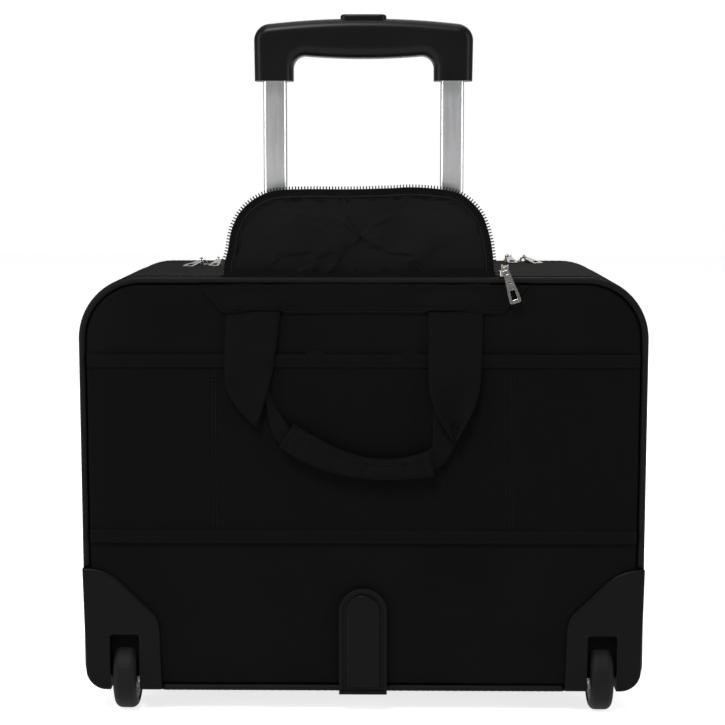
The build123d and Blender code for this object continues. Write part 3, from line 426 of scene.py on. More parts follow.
def flow(points, per_leg=8):
    """Smooth Catmull-Rom line through a few points."""
    p = np.asarray(points, float)
    p = np.vstack((2 * p[0] - p[1], p, 2 * p[-1] - p[-2]))
    out = []
    for i in range(1, len(p) - 2):
        for t in np.linspace(0, 1, per_leg, endpoint=False):
            a, b, c, d = p[i - 1], p[i], p[i + 1], p[i + 2]
            out.append(0.5 * (2 * b + (c - a) * t + (2 * a - 5 * b + 4 * c - d) * t ** 2
                              + (3 * b - a - 3 * c + d) * t ** 3))
    out.append(p[-2])
    return np.array(out)


def ripple(a, b, seed=0.0, size=0.05):
    """Smooth unevenness between about -1 and 1, the same each run."""
    k = 2 * math.pi / size
    return (0.40 * np.sin(k * a + 1.3 * np.sin(0.6 * k * b + seed) + seed)
            + 0.35 * np.sin(0.8 * k * b + 1.1 * np.sin(0.5 * k * a + 2 * seed))
            + 0.25 * np.sin(1.9 * k * (a + 0.7 * b) + 3 * seed))


def at_depth(points, y):
    """Turns x, z points into x, y, z points at one depth."""
    return np.column_stack((points[:, 0], np.full(len(points), y), points[:, 1]))


def settle(cloth, held, pressure, cap, frames=16, slack=-0.03):
    """Blows a sewn cover out against its own stuffing; held vertices keep their place and no vertex moves past cap."""
    start = np.array([v.co for v in cloth.data.vertices])
    group = cloth.vertex_groups.new(name="held")
    group.add([int(i) for i in held], 1.0, "REPLACE")
    modifier = cloth.modifiers.new("settle", "CLOTH")
    settings = modifier.settings
    settings.quality = 5
    settings.mass = 0.2
    settings.tension_stiffness = 20
    settings.compression_stiffness = 12
    settings.shear_stiffness = 6
    settings.bending_stiffness = 0.15
    settings.vertex_group_mass = "held"
    settings.use_pressure = True
    settings.uniform_pressure_force = pressure
    settings.shrink_min = slack
    settings.effector_weights.gravity = 0
    modifier.collision_settings.use_collision = False
    for frame_number in range(1, frames + 1):
        bpy.context.scene.frame_set(frame_number)
    seen = cloth.evaluated_get(bpy.context.evaluated_depsgraph_get())
    moved = np.array([v.co for v in seen.data.vertices]) - start
    cloth.modifiers.remove(modifier)
    bpy.context.scene.frame_set(1)
    length = np.linalg.norm(moved, axis=1)[:, None]
    moved *= np.minimum(1.0, cap / np.maximum(length, 1e-9))
    for vertex, place in zip(cloth.data.vertices, start + moved):
        vertex.co = place
    cloth.data.update()


def sweep(name, path, profile, up, material, body, closed=False, swell=None, **extra):
    """A profile of (outward, along up) points carried along a path; swell adds (outward) height per point."""
    path = np.asarray(path, float)
    up = np.array(up, float)
    if closed:
        tangent = np.roll(path, -1, 0) - np.roll(path, 1, 0)
    else:
        tangent = np.gradient(path, axis=0)
    tangent /= np.linalg.norm(tangent, axis=1)[:, None]
    out = np.cross(tangent, up)
    out /= np.linalg.norm(out, axis=1)[:, None]
    profile = np.asarray(profile, float)
    rows = []
    for i, spot in enumerate(path):
        lift = profile[:, 0] + (swell(i, len(path), spot, profile) if swell else 0.0)
        rows.append(spot + lift[:, None] * out[i] + profile[:, 1][:, None] * up)
    points = np.vstack(rows)
    cols = len(profile)
    faces = grid_faces(len(path), cols, close_rows=closed, close_cols=True)
    if not closed:
        faces.append(tuple(range(cols))[::-1])
        faces.append(tuple((len(path) - 1) * cols + i for i in range(cols)))
    return piece(name, points, faces, material, body, **extra)


def round_profile(radius, sides=12):
    a = np.linspace(0, 2 * math.pi, sides, endpoint=False)
    return np.column_stack((radius * np.cos(a), radius * np.sin(a)))


def strip_profile(low, high, thick, across=4, lift=0.0):
    """Flat strip section, soft at its edges, from low to high along up and thick outward."""
    v = np.linspace(low, high, across + 1)
    top = np.full(across + 1, lift + thick)
    top[0] -= 0.35 * thick
    top[-1] -= 0.35 * thick
    upper = np.column_stack((top, v))
    lower = np.column_stack((np.full(across + 1, lift), v))[::-1]
    return np.vstack((upper, lower))


def slab(name, loop, centre, back_y, facing, height, material, body, edge=2.5 * MM, rings=40, back=None, **extra):
    """Padded panel: height(x, z) stands out of back_y, and its rim rolls over to the back."""
    loop = np.asarray(loop, float)
    centre = np.array(centre, float)
    spokes = loop - centre
    reach = np.linalg.norm(spokes, axis=1)
    close = np.array([0, .15, .45, .9, 1.5, 2.3, 3.4, 5, 7, 9.5, 12.5, 16]) * MM
    far = np.linspace(0, 1, rings)[1:]
    layers = []
    for depth in close:
        layers.append(1 - depth / reach)
    start = layers[-1]
    for share in far:
        layers.append(start * (1 - share) + 0.004 * share)
    points = []
    for share in layers:
        spot = centre + spokes * share[:, None]
        inset = reach * (1 - share)
        roll = np.sqrt(np.clip(1 - (1 - np.clip(inset / edge, 0, 1)) ** 2, 0, 1))
        y = back_y + facing * height(spot[:, 0], spot[:, 1]) * roll
        points.append(np.column_stack((spot[:, 0], y, spot[:, 1])))
    rows = len(points)
    cols = len(loop)
    behind = back if back is not None else 0.0
    for share in (0.97, 0.5, 0.01):
        spot = centre + spokes * share
        y = np.full(cols, back_y - facing * behind)
        points.append(np.column_stack((spot[:, 0], y, spot[:, 1])))
    points = np.vstack(points)
    faces = grid_faces(rows, cols, close_cols=True, flip=facing < 0)
    middle = tuple((rows - 1) * cols + i for i in range(cols))
    faces.append(middle if facing > 0 else middle[::-1])
    base = rows * cols
    rim_to_back = [0] + [base + i * cols for i in range(3)]
    for a, b in zip(rim_to_back[:-1], rim_to_back[1:]):
        for i in range(cols):
            j = (i + 1) % cols
            quad = (a + i, a + j, b + j, b + i)
            faces.append(quad if facing < 0 else quad[::-1])
    last = tuple(rim_to_back[-1] + i for i in range(cols))
    faces.append(last if facing < 0 else last[::-1])
    return piece(name, points, faces, material, body, **extra)


def patch(name, xs, zs, surface, thick, facing, material, body, **extra):
    """Thin cloth patch over a surface(x, z) = y, closed behind, its border pressed down."""
    gx, gz = np.meshgrid(xs, zs)
    rows, cols = gx.shape
    y = surface(gx, gz)
    front = np.full_like(y, thick)
    for line in (front[0], front[-1], front[:, 0], front[:, -1]):
        line[:] = 0.45 * thick
    top = np.dstack((gx, y + facing * front, gz)).reshape(-1, 3)
    bottom = np.dstack((gx, y, gz)).reshape(-1, 3)
    count = rows * cols
    faces = grid_faces(rows, cols, flip=facing > 0)
    faces += [tuple(count + i for i in f[::-1]) for f in faces]
    border = [i for i in range(cols)] + [r * cols + cols - 1 for r in range(1, rows)]
    border += [(rows - 1) * cols + c for c in range(cols - 2, -1, -1)]
    border += [r * cols for r in range(rows - 2, 0, -1)]
    for a, b in zip(border, border[1:] + border[:1]):
        quad = (a, count + a, count + b, b)
        faces.append(quad[::-1] if facing > 0 else quad)
    return piece(name, np.vstack((top, bottom)), faces, material, body, **extra)


def ribbon(name, edge_a, edge_b, thick, material, body, across=14, cup=0.0, **extra):
    """Flat strap between two smooth edge lines; cup pushes its middle along +y, more and more towards its end."""
    a = flow(edge_a)
    b = flow(edge_b)
    count = max(len(a), len(b))
    spots = np.linspace(0, 1, count)
    a = np.column_stack([np.interp(spots, np.linspace(0, 1, len(a)), a[:, i]) for i in range(3)])
    b = np.column_stack([np.interp(spots, np.linspace(0, 1, len(b)), b[:, i]) for i in range(3)])
    share = np.linspace(0, 1, across + 1)
    middle = a[:, None, :] * (1 - share)[None, :, None] + b[:, None, :] * share[None, :, None]
    grow = smooth_step((spots - 0.35) / 0.45) * np.minimum(1, (1 - spots) / 0.12 + 0.25)
    weave = 0.25 * MM * np.sin(spots * 17 + 1.3)[:, None] * np.sin(share * 5 + 0.7)[None, :]
    middle[:, :, 1] += cup * grow[:, None] * (np.sin(math.pi * share) ** 0.8)[None, :] + weave
    along = np.gradient(middle, axis=0)
    side = np.gradient(middle, axis=1)
    normal = np.cross(along, side)
    normal /= np.linalg.norm(normal, axis=2)[:, :, None] + 1e-12
    half = np.full(across + 1, thick / 2)
    half[0] *= 0.45
    half[-1] *= 0.45
    half[1] = half[-2] = thick * 0.56
    front = middle + normal * half[None, :, None]
    rear = middle - normal * half[None, :, None]
    section = np.concatenate((front, rear[:, ::-1]), axis=1)
    cols = section.shape[1]
    faces = grid_faces(count, cols, close_cols=True)
    faces.append(tuple(range(cols))[::-1])
    faces.append(tuple((count - 1) * cols + i for i in range(cols)))
    return piece(name, section.reshape(-1, 3), faces, material, body, **extra)


def beads(name, spots, ways, ups, size, material, body, **extra):
    """Many small eight-sided grains, as stitches or zip teeth: size is length, width and height."""
    length, width, height = size
    ring = [(-.5, 0, 0), (-.34, .36, .8), (.34, .36, .8), (.5, 0, 0), (.34, .36, -.6), (-.34, .36, -.6)]
    block = []
    for u, v, w in ring:
        block.append((u, v, w))
    for u, v, w in ring:
        block.append((u, -v, w))
    block = np.array(block) * (length, width, height / 2)
    shape = [(0, 1, 7, 6), (1, 2, 8, 7), (2, 3, 9, 8), (3, 4, 10, 9), (4, 5, 11, 10), (5, 0, 6, 11),
             (5, 4, 3, 2, 1, 0), (6, 7, 8, 9, 10, 11)]
    points = []
    faces = []
    for spot, way, up in zip(spots, ways, ups):
        way = np.asarray(way, float) / np.linalg.norm(way)
        up = np.asarray(up, float) - np.dot(up, way) * way
        up /= np.linalg.norm(up)
        side = np.cross(up, way)
        start = len(points)
        points.extend(spot + block[:, :1] * way + block[:, 1:2] * side + block[:, 2:] * up)
        faces.extend(tuple(start + i for i in f) for f in shape)
    return piece(name, points, faces, material, body, smooth=False, **extra)


def seam(name, path, up, body, pitch=3.2 * MM, length=2.3 * MM, width=0.75 * MM, sink=0.0, material="thread"):
    """A row of stitches along a path; up is the way out of the cloth, one for all or one each."""
    ups = np.asarray(up, float)
    ups = np.tile(ups, (len(path), 1)) if ups.ndim == 1 else ups
    spots = even(path, pitch)
    share = np.linspace(0, 1, len(spots))
    ups = np.column_stack([np.interp(share, np.linspace(0, 1, len(ups)), ups[:, i]) for i in range(3)])
    ways = np.gradient(spots, axis=0)
    spots = spots + ups * (-sink)
    return beads(name, spots, ways, ups, (length, width, width), material, body, slot="webbing")


def outward(points, closed=False):
    """Way out of an outline at each of its x, y, z points, in the upright plane."""
    tangent = np.gradient(points, axis=0)
    if closed:
        tangent = np.roll(points, -1, 0) - np.roll(points, 1, 0)
    out = np.column_stack((-tangent[:, 2], np.zeros(len(points)), tangent[:, 0]))
    return out / np.linalg.norm(out, axis=1)[:, None]


def smooth_step(value):
    value = np.clip(value, 0, 1)
    return value * value * (3 - 2 * value)


# =====================================================================
# Rear face
# =====================================================================

def edge_gap(x, z, inset=PANEL_INSET):
    """Distance in from the panel's own rounded outline."""
    half = HALF - inset
    high = TOP - inset
    low = BOTTOM + inset
    middle_z = (high + low) / 2
    up = z > middle_z
    radius = np.where(up, R_TOP - inset, R_BOTTOM - inset)
    dx = np.abs(x) - (half - radius)
    dz = np.where(up, z - (high - radius), (low + radius) - z)
    outside = np.hypot(np.maximum(dx, 0), np.maximum(dz, 0)) + np.minimum(np.maximum(dx, dz), 0)
    return radius - outside


def rear_out(x, z):
    """How far the rear cloth stands behind y = 0: it is full, slightly uneven and drawn in at the piping."""
    gap = edge_gap(x, z)
    full = 102.9 * MM + 1.3 * MM * smooth_step(gap / (16 * MM)) + 0.35 * MM * ripple(x, z, 0.7, 0.11)
    pucker = 0.28 * MM * np.sin(x * 520 + 2 * np.sin(z * 90)) * np.exp(-gap / (7 * MM))
    return full + pucker


def rear_cloth(x, z):
    return -rear_out(x, z)


def band_cloth(x, z):
    """Outside of the ribbed pocket band, a little full between its seams."""
    share = (z - BAND_LOW) / (BAND_HIGH - BAND_LOW)
    seams = 115 * MM
    panels = np.where(np.abs(x) < seams, 1.0, 0.6)
    across = np.where(np.abs(x) < seams, np.cos(x / seams * math.pi / 2),
                      np.sin(np.clip((np.abs(x) - seams) / (BAND_HALF - seams), 0, 1) * math.pi))
    puff = 0.9 * MM * panels * np.abs(across) ** 0.35 * np.sin(np.clip(share, 0, 1) * math.pi) ** 0.4
    return -(rear_out(x, z) + 0.5 * MM + puff + 0.25 * MM * ripple(x, z, 2.1, 0.08))


def remake(cloth, places, faces):
    """Gives a piece a new mesh from some of its faces."""
    used = sorted({i for f in faces for i in f})
    renamed = {old: new for new, old in enumerate(used)}
    fresh = bpy.data.meshes.new(cloth.name)
    fresh.from_pydata([tuple(places[i]) for i in used], [], [tuple(renamed[i] for i in f) for f in faces])
    fresh.validate()
    fresh.shade_smooth()
    fresh.materials.append(cloth.data.materials[0])
    cloth.data = fresh


def in_well(spot):
    """Whether a place is where a wheel stands in its well; the housings cover the edges of what is cut there."""
    reach = (tyre_high.x - tyre_low.x) / 2 + 5.3 * MM
    beside = abs(abs(spot[0]) - (tyre_low.x + tyre_high.x) / 2) > reach
    return not (beside or spot[2] > tyre_high.z + 12 * MM or spot[1] > tyre_high.y + 3 * MM)


def open_wells(cloth):
    faces = [tuple(f.vertices) for f in cloth.data.polygons if not in_well(f.center)]
    remake(cloth, [v.co.copy() for v in cloth.data.vertices], faces)


def rear_face():
    loop = rounded_loop(HALF - PANEL_INSET, BOTTOM + PANEL_INSET, TOP - PANEL_INSET,
                        R_BOTTOM - PANEL_INSET, R_TOP - PANEL_INSET, 3 * MM)
    panel = slab("rear_panel_cloth", loop, (0, 0.18), -99.4 * MM, -1,
                 lambda x, z: rear_out(x, z) - 99.4 * MM, "ballistic_nylon", "shell",
                 edge=3 * MM, rings=70, slot="ballistic_nylon", replaces=["rear_panel"])
    open_wells(panel)
    xs = np.linspace(-BAND_HALF, BAND_HALF, 240)
    zs = np.linspace(BAND_LOW + TAPE_W - 2 * MM, BAND_HIGH - TAPE_W + 2 * MM, 60)
    band = patch("ribbed_band", xs, zs, band_cloth, 0.7 * MM, -1, "ribbed_nylon", "shell",
                 slot="ribbed_nylon", replaces=["rear_band"])
    long_xs = np.linspace(-BAND_HALF, BAND_HALF, 200)
    stitch_xs = np.linspace(-BAND_HALF + 2 * MM, BAND_HALF - 2 * MM, 150)
    for low, label in ((BAND_LOW, "bottom"), (BAND_HIGH - TAPE_W, "top")):
        zs = low + np.array([0, .4, 1.2, 2.6, 4.2, 5.35, 6.5, 8.1, 9.5, 10.3, 10.7]) * MM

        def tape_cloth(x, z, low=low):
            swell = 0.25 * MM * np.sin(np.clip((z - low) / TAPE_W, 0, 1) * math.pi)
            return np.minimum(band_cloth(x, z), rear_cloth(x, z) - 1.0 * MM) - 0.55 * MM - swell

        names = {"bottom": [], "top": ["rear_trim"]}
        patch(f"band_tape_{label}", long_xs, zs, tape_cloth, 0.75 * MM, -1, "grosgrain", "shell",
              slot="grosgrain", replaces=names[label])
        for offset in (1.9 * MM, TAPE_W - 1.9 * MM):
            z = np.full(len(stitch_xs), low + offset)
            y = tape_cloth(stitch_xs, z) - 0.85 * MM
            seam(f"tape_stitch_{label}_{round(offset * 1e4)}", np.column_stack((stitch_xs, y, z)), (0, -1, 0), "shell")
    for x in (-115 * MM, 115 * MM):
        for shift in (-1.2 * MM, 1.2 * MM):
            z = np.linspace(BAND_LOW + TAPE_W, BAND_HIGH - TAPE_W, 80)
            line = np.column_stack((np.full(80, x + shift), band_cloth(x + shift, z) - 0.8 * MM, z))
            side = "left" if x < 0 else "right"
            seam(f"band_stitch_{side}_{'a' if shift < 0 else 'b'}", line, (0, -1, 0), "shell")


def over_leg_ends(x, half, fade):
    """1 over the two places where the carry handle's legs are sewn in, fading to 0 beside them."""
    return sum(smooth_step((half - np.abs(x - middle)) / fade) for middle in (-83.4 * MM, 70.6 * MM))


def lifted(x):
    """How far the yoke's lower edge is pushed up by the thick webbing under it."""
    return 2.6 * MM * over_leg_ends(x, 23.5 * MM, 4 * MM)


def yoke():
    """Stitched reinforcement patch that the carry handle is sewn under."""
    corners = [(108, 316), (126, 336), (126, 338.2), (-126, 338.2), (-126, 336), (-108, 316)]
    legs = [run(np.array(a) * MM, np.array(b) * MM, 2.5 * MM) for a, b in zip(corners, corners[1:] + corners[:1])]
    loop = join_runs(*legs)[:-1]
    loop[:, 1] += np.where(loop[:, 1] < 316.5 * MM, lifted(loop[:, 0]), 0)

    def over_legs(x, z):
        """Cloth over the ends of the handle webbing, which are sewn in under the patch."""
        lump = smooth_step((334 * MM - z) / (12 * MM)) * over_leg_ends(x, 26.5 * MM, 9 * MM)
        return rear_out(x, z) - 102.6 * MM + 1.2 * MM + 2.1 * MM * lump

    slab("handle_yoke", loop, (0, 0.3275), -102.6 * MM, -1, over_legs, "ballistic_nylon", "shell",
         edge=1.0 * MM, rings=22, slot="ballistic_nylon")
    for inset in (2.0, 4.2):
        edge = [(-126 + inset * 1.3, 337), (-108 + inset * 0.6, 316 + inset), (108 - inset * 0.6, 316 + inset),
                (126 - inset * 1.3, 337)]
        line = join_runs(*[run(np.array(a) * MM, np.array(b) * MM, 3 * MM) for a, b in zip(edge, edge[1:])])
        line[:, 1] += np.where(line[:, 1] < 321 * MM, lifted(line[:, 0]), 0)
        y = -102.6 * MM - over_legs(line[:, 0], line[:, 1]) - 0.15 * MM
        seam(f"yoke_stitch_{round(inset * 10)}", np.column_stack((line[:, 0], y, line[:, 1])), (0, -1, 0), "shell")


def snaps():
    """Two covered magnetic snaps behind the pocket's top tape: only their upper rims stand out."""
    for x, label in ((-36.8 * MM, "left"), (36.2 * MM, "right")):
        radii = np.array([8.6, 8.2, 7.4, 6.2, 4.2, 2.0, 0.05]) * MM
        heights = np.array([0.0, 0.6, 1.0, 1.3, 1.5, 1.6, 1.6]) * MM
        a = np.linspace(0, 2 * math.pi, 32, endpoint=False)
        rows = []
        for radius, height in zip(radii, heights):
            rows.append(np.column_stack((x + radius * np.cos(a), np.full(32, -104.4 * MM - height),
                                         282.6 * MM + radius * 0.62 * np.sin(a))))
        points = np.vstack(rows)
        faces = grid_faces(len(radii), 32, close_cols=True, flip=True)
        faces.append(tuple(range(32)))
        faces.append(tuple((len(radii) - 1) * 32 + i for i in range(32))[::-1])
        piece(f"pocket_snap_{label}", points, faces, "grosgrain", "shell", slot="grosgrain")


def piping():
    """Covered piping cords: rear arch, rear bottom, front sill and the front door's arch."""
    def wrinkle(i, count, spot, profile):
        return 0.10 * MM * math.sin(i * 2.1 + 1.5 * math.sin(i * 0.31)) + np.zeros(len(profile))

    housing_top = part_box("wheel_housings")[1].z
    profile = round_profile(PIPING_R, 14)
    rear = at_depth(even(arch(HALF, housing_top + 1 * MM, TOP, R_TOP), 1.7 * MM), -PIPING_Y)
    sweep("rear_piping", rear, profile, (0, 1, 0), "piping_vinyl", "shell", swell=wrinkle,
          slot="piping_vinyl", replaces=["piping_cords"])
    low = even(run((-157 * MM, BOTTOM), (157 * MM, BOTTOM), 2 * MM), 1.7 * MM)
    sweep("rear_bottom_piping", at_depth(low, -PIPING_Y), profile, (0, 1, 0), "piping_vinyl", "shell",
          swell=wrinkle, slot="piping_vinyl")
    front = at_depth(even(sill(HALF, BASE_RIM_Z - 1 * MM, BOTTOM, R_BOTTOM), 1.7 * MM), PIPING_Y)
    sweep("front_sill_piping", front, profile, (0, 1, 0), "piping_vinyl", "shell", swell=wrinkle,
          slot="piping_vinyl")
    door = at_depth(even(arch(HALF, UPPER_Z + 1 * MM, TOP, R_TOP), 1.7 * MM), PIPING_Y)
    sweep("door_piping_cord", door, profile, (0, 1, 0), "piping_vinyl", "front_door", swell=wrinkle,
          slot="piping_vinyl", replaces=["door_piping"])


# =====================================================================
# Gussets and zips
# =====================================================================

def gusset_profile(low, high, thick, across):
    v = np.linspace(low, high, across)
    outer = np.column_stack((np.zeros(across), v))
    inner = np.column_stack((np.full(across, -thick), v))[::-1]
    return np.vstack((outer, inner))


def slack(amount, seed, stuffed=0.0):
    """Unevenness of unsupported gusset cloth, most half way between its seams; stuffed pushes its top up."""
    def swell(i, count, spot, profile):
        v = profile[:, 1]
        share = (v - v.min()) / (v.max() - v.min())
        hang = np.sin(share * math.pi)
        outer = profile[:, 0] > -1 * MM
        length = i / count * 1.4
        wave = ripple(v + 0 * length, length + 0 * v, seed, 0.09)
        top = smooth_step((spot[2] - TOP + 3 * MM) / (3 * MM)) * smooth_step((185 * MM - abs(spot[0])) / (60 * MM))
        push = stuffed * top * (0.35 + 0.65 * smooth_step((spot[0] + 60 * MM) / (160 * MM)))
        return np.where(outer, amount * hang * (wave - 0.6) + push * hang ** 0.6, 0.0)
    return swell


def bay_distance(x, y):
    """Signed distance to the handle bay's opening seen from above, negative inside it."""
    half = 101.5 * MM
    front = -31.8 * MM
    radius = 38 * MM
    dx = np.abs(x) - (half - radius)
    dy = y - (front - radius)
    outside = np.hypot(np.maximum(dx, 0), np.maximum(dy, 0)) + np.minimum(np.maximum(dx, dy), 0)
    return outside - radius


def cut_openings(gusset, across):
    """Opens the gusset over the handle bay and at the wheels, and joins its two layers round the cut edges."""
    mesh = gusset.data
    co = np.array([v.co for v in mesh.vertices])
    inside = (bay_distance(co[:, 0], co[:, 1]) < 0) & (co[:, 2] > TOP - 12 * MM)
    faces = [tuple(p.vertices) for p in mesh.polygons if not all(inside[i] for i in p.vertices)]
    faces = [f for f in faces if not in_well(co[list(f)].mean(axis=0))]
    eps = 0.1 * MM
    for i in np.nonzero(inside)[0]:
        for _ in range(3):
            x, y = co[i, 0], co[i, 1]
            d = float(bay_distance(x, y))
            gx = float(bay_distance(x + eps, y) - bay_distance(x - eps, y)) / (2 * eps)
            gy = float(bay_distance(x, y + eps) - bay_distance(x, y - eps)) / (2 * eps)
            co[i, 0] -= d * gx
            co[i, 1] -= d * gy
    edges = {(a, b) for f in faces for a, b in zip(f, f[1:] + f[:1])}
    cols = 2 * across

    def partner(i):
        return i - i % cols + cols - 1 - i % cols

    for a, b in sorted(edges):
        if (b, a) not in edges and a % cols < across and b % cols < across:
            faces.append((b, a, partner(a), partner(b)))
    remake(gusset, co, faces)


def gussets():
    loop = even(np.vstack((rounded_loop(HALF, BOTTOM, TOP, R_BOTTOM, R_TOP, 3 * MM), [(0, BOTTOM)])), 3 * MM)[:-1]
    rear = -98.9 * MM
    front = MAIN_ZIP_Y - 1.6 * MM
    across = 46
    shell = sweep("main_gusset_cloth", at_depth(loop, 0), gusset_profile(rear, front, 3 * MM, across), (0, 1, 0),
                  "ballistic_nylon", "shell", closed=True, swell=slack(1.3 * MM, 0.4),
                  slot="ballistic_nylon", replaces=["main_gusset"])
    cut_openings(shell, across)
    base = even(sill(HALF, BASE_RIM_Z, BOTTOM, R_BOTTOM), 3 * MM)
    under = sweep("base_gusset_cloth", at_depth(base, 0), gusset_profile(front - 0.5 * MM, 98.9 * MM, 3 * MM, 20),
                  (0, 1, 0), "ballistic_nylon", "shell", swell=slack(0.8 * MM, 1.9), slot="ballistic_nylon")
    upper = rounded_loop(HALF, UPPER_Z, TOP, 6 * MM, R_TOP, 3 * MM)
    upper = even(np.vstack((upper, upper[:1])), 3 * MM)[:-1]
    organizer = sweep("organizer_gusset_cloth", at_depth(upper, 0),
                      gusset_profile(lid_low.y, lid_high.y - 0.2 * MM, 2.6 * MM, 16), (0, 1, 0),
                      "ballistic_nylon", "organizer_section", closed=True, swell=slack(1.0 * MM, 2.6, 5.5 * MM),
                      slot="ballistic_nylon", replaces=["lid_gusset"])
    door = sweep("door_gusset_cloth", at_depth(upper, 0),
                 gusset_profile(door_low.y + 0.2 * MM, 98.9 * MM, 2.6 * MM, 8), (0, 1, 0),
                 "ballistic_nylon", "front_door", closed=True, swell=slack(0.5 * MM, 4.4),
                 slot="ballistic_nylon", replaces=["door_gusset"])


def zip_side(label, y, way, body, node, start_z):
    """One side of a coil zip over the top: tape, seam and teeth. way is -1 behind the zip and 1 in front."""
    path = at_depth(even(arch(HALF, start_z, TOP, R_TOP), 3 * MM), y)
    low, high = sorted((way * 0.15 * MM, way * 8.5 * MM))
    sweep(f"{label}_tape", path[::-1], strip_profile(low, high, 0.7 * MM, 6, 0.05 * MM), (0, 1, 0), "edge_tape", body,
          slot="grosgrain", replaces=[node] if node else [])
    out = outward(path)
    out = out * np.sign(np.sum(out * (path - np.array([0, y, 0.2])), axis=1))[:, None]
    stitch = path + out * 0.85 * MM + np.array([0, way * 6.6 * MM, 0])
    seam(f"{label}_stitch", stitch, out, body)
    pitch = 2.0 * MM
    teeth = even(np.hstack((path, out)), pitch)
    if way > 0:
        teeth = (teeth[:-1] + teeth[1:]) / 2
    spots = teeth[:, :3] + teeth[:, 3:] * 1.0 * MM + np.array([0, way * 0.7 * MM, 0])
    ways = np.tile((0, 1.0, 0), (len(spots), 1))
    beads(f"{label}_teeth", spots, ways, teeth[:, 3:], (3.0 * MM, 1.5 * MM, 1.2 * MM), "zip_teeth", body,
          slot="grosgrain")


def zips():
    start = UPPER_Z + 4 * MM
    zip_side("main_zip_rear", MAIN_ZIP_Y, -1, "shell", "main_zip_tape", start)
    zip_side("main_zip_front", MAIN_ZIP_Y, 1, "organizer_section", "lid_zip_tapes", start)
    zip_side("front_zip_rear", FRONT_ZIP_Y, -1, "organizer_section", None, start)
    zip_side("front_zip_front", FRONT_ZIP_Y, 1, "front_door", "door_zip_tape", start)


# =====================================================================
# Handle bay: flap and the zip round the opening
# =====================================================================

FLAP_EDGE = [(-108.6, 344.7), (-107.6, 355), (-105.2, 364), (-103, 376.8), (-99.7, 386.1), (-93.9, 395.4),
             (-82.8, 404.8), (-68, 410.4), (-45, 411.7), (-10, 411.6), (20, 412.4), (37, 413.2), (58, 411.8),
             (74, 408.4), (85, 400.4), (92.4, 391), (96.5, 380.5), (99, 371), (101, 357), (101.8, 344.7)]


def flap_line(gap):
    """The flap's edge, up one side, over its slightly slumped top and down, drawn in by gap."""
    line = even(flow(np.array(FLAP_EDGE) * MM), 2 * MM)
    tangent = np.gradient(line, axis=0)
    inward = np.column_stack((tangent[:, 1], -tangent[:, 0]))
    line = line + gap * inward / np.linalg.norm(inward, axis=1)[:, None]
    line[:, 1] = np.maximum(line[:, 1], flap_low.z + 0.15 * gap)
    return line


def flap_loop(gap):
    line = flap_line(gap)
    return join_runs(line[::-1], run(line[0], line[-1], 2.5 * MM))[:-1]


def away_from(loop, x, z):
    """Distance of each place from the nearest point of a loop."""
    flat = np.column_stack((np.ravel(x), np.ravel(z)))
    near = np.min(np.linalg.norm(flat[:, None, :] - loop[None, :, :], axis=2), axis=1)
    return near.reshape(np.shape(x))


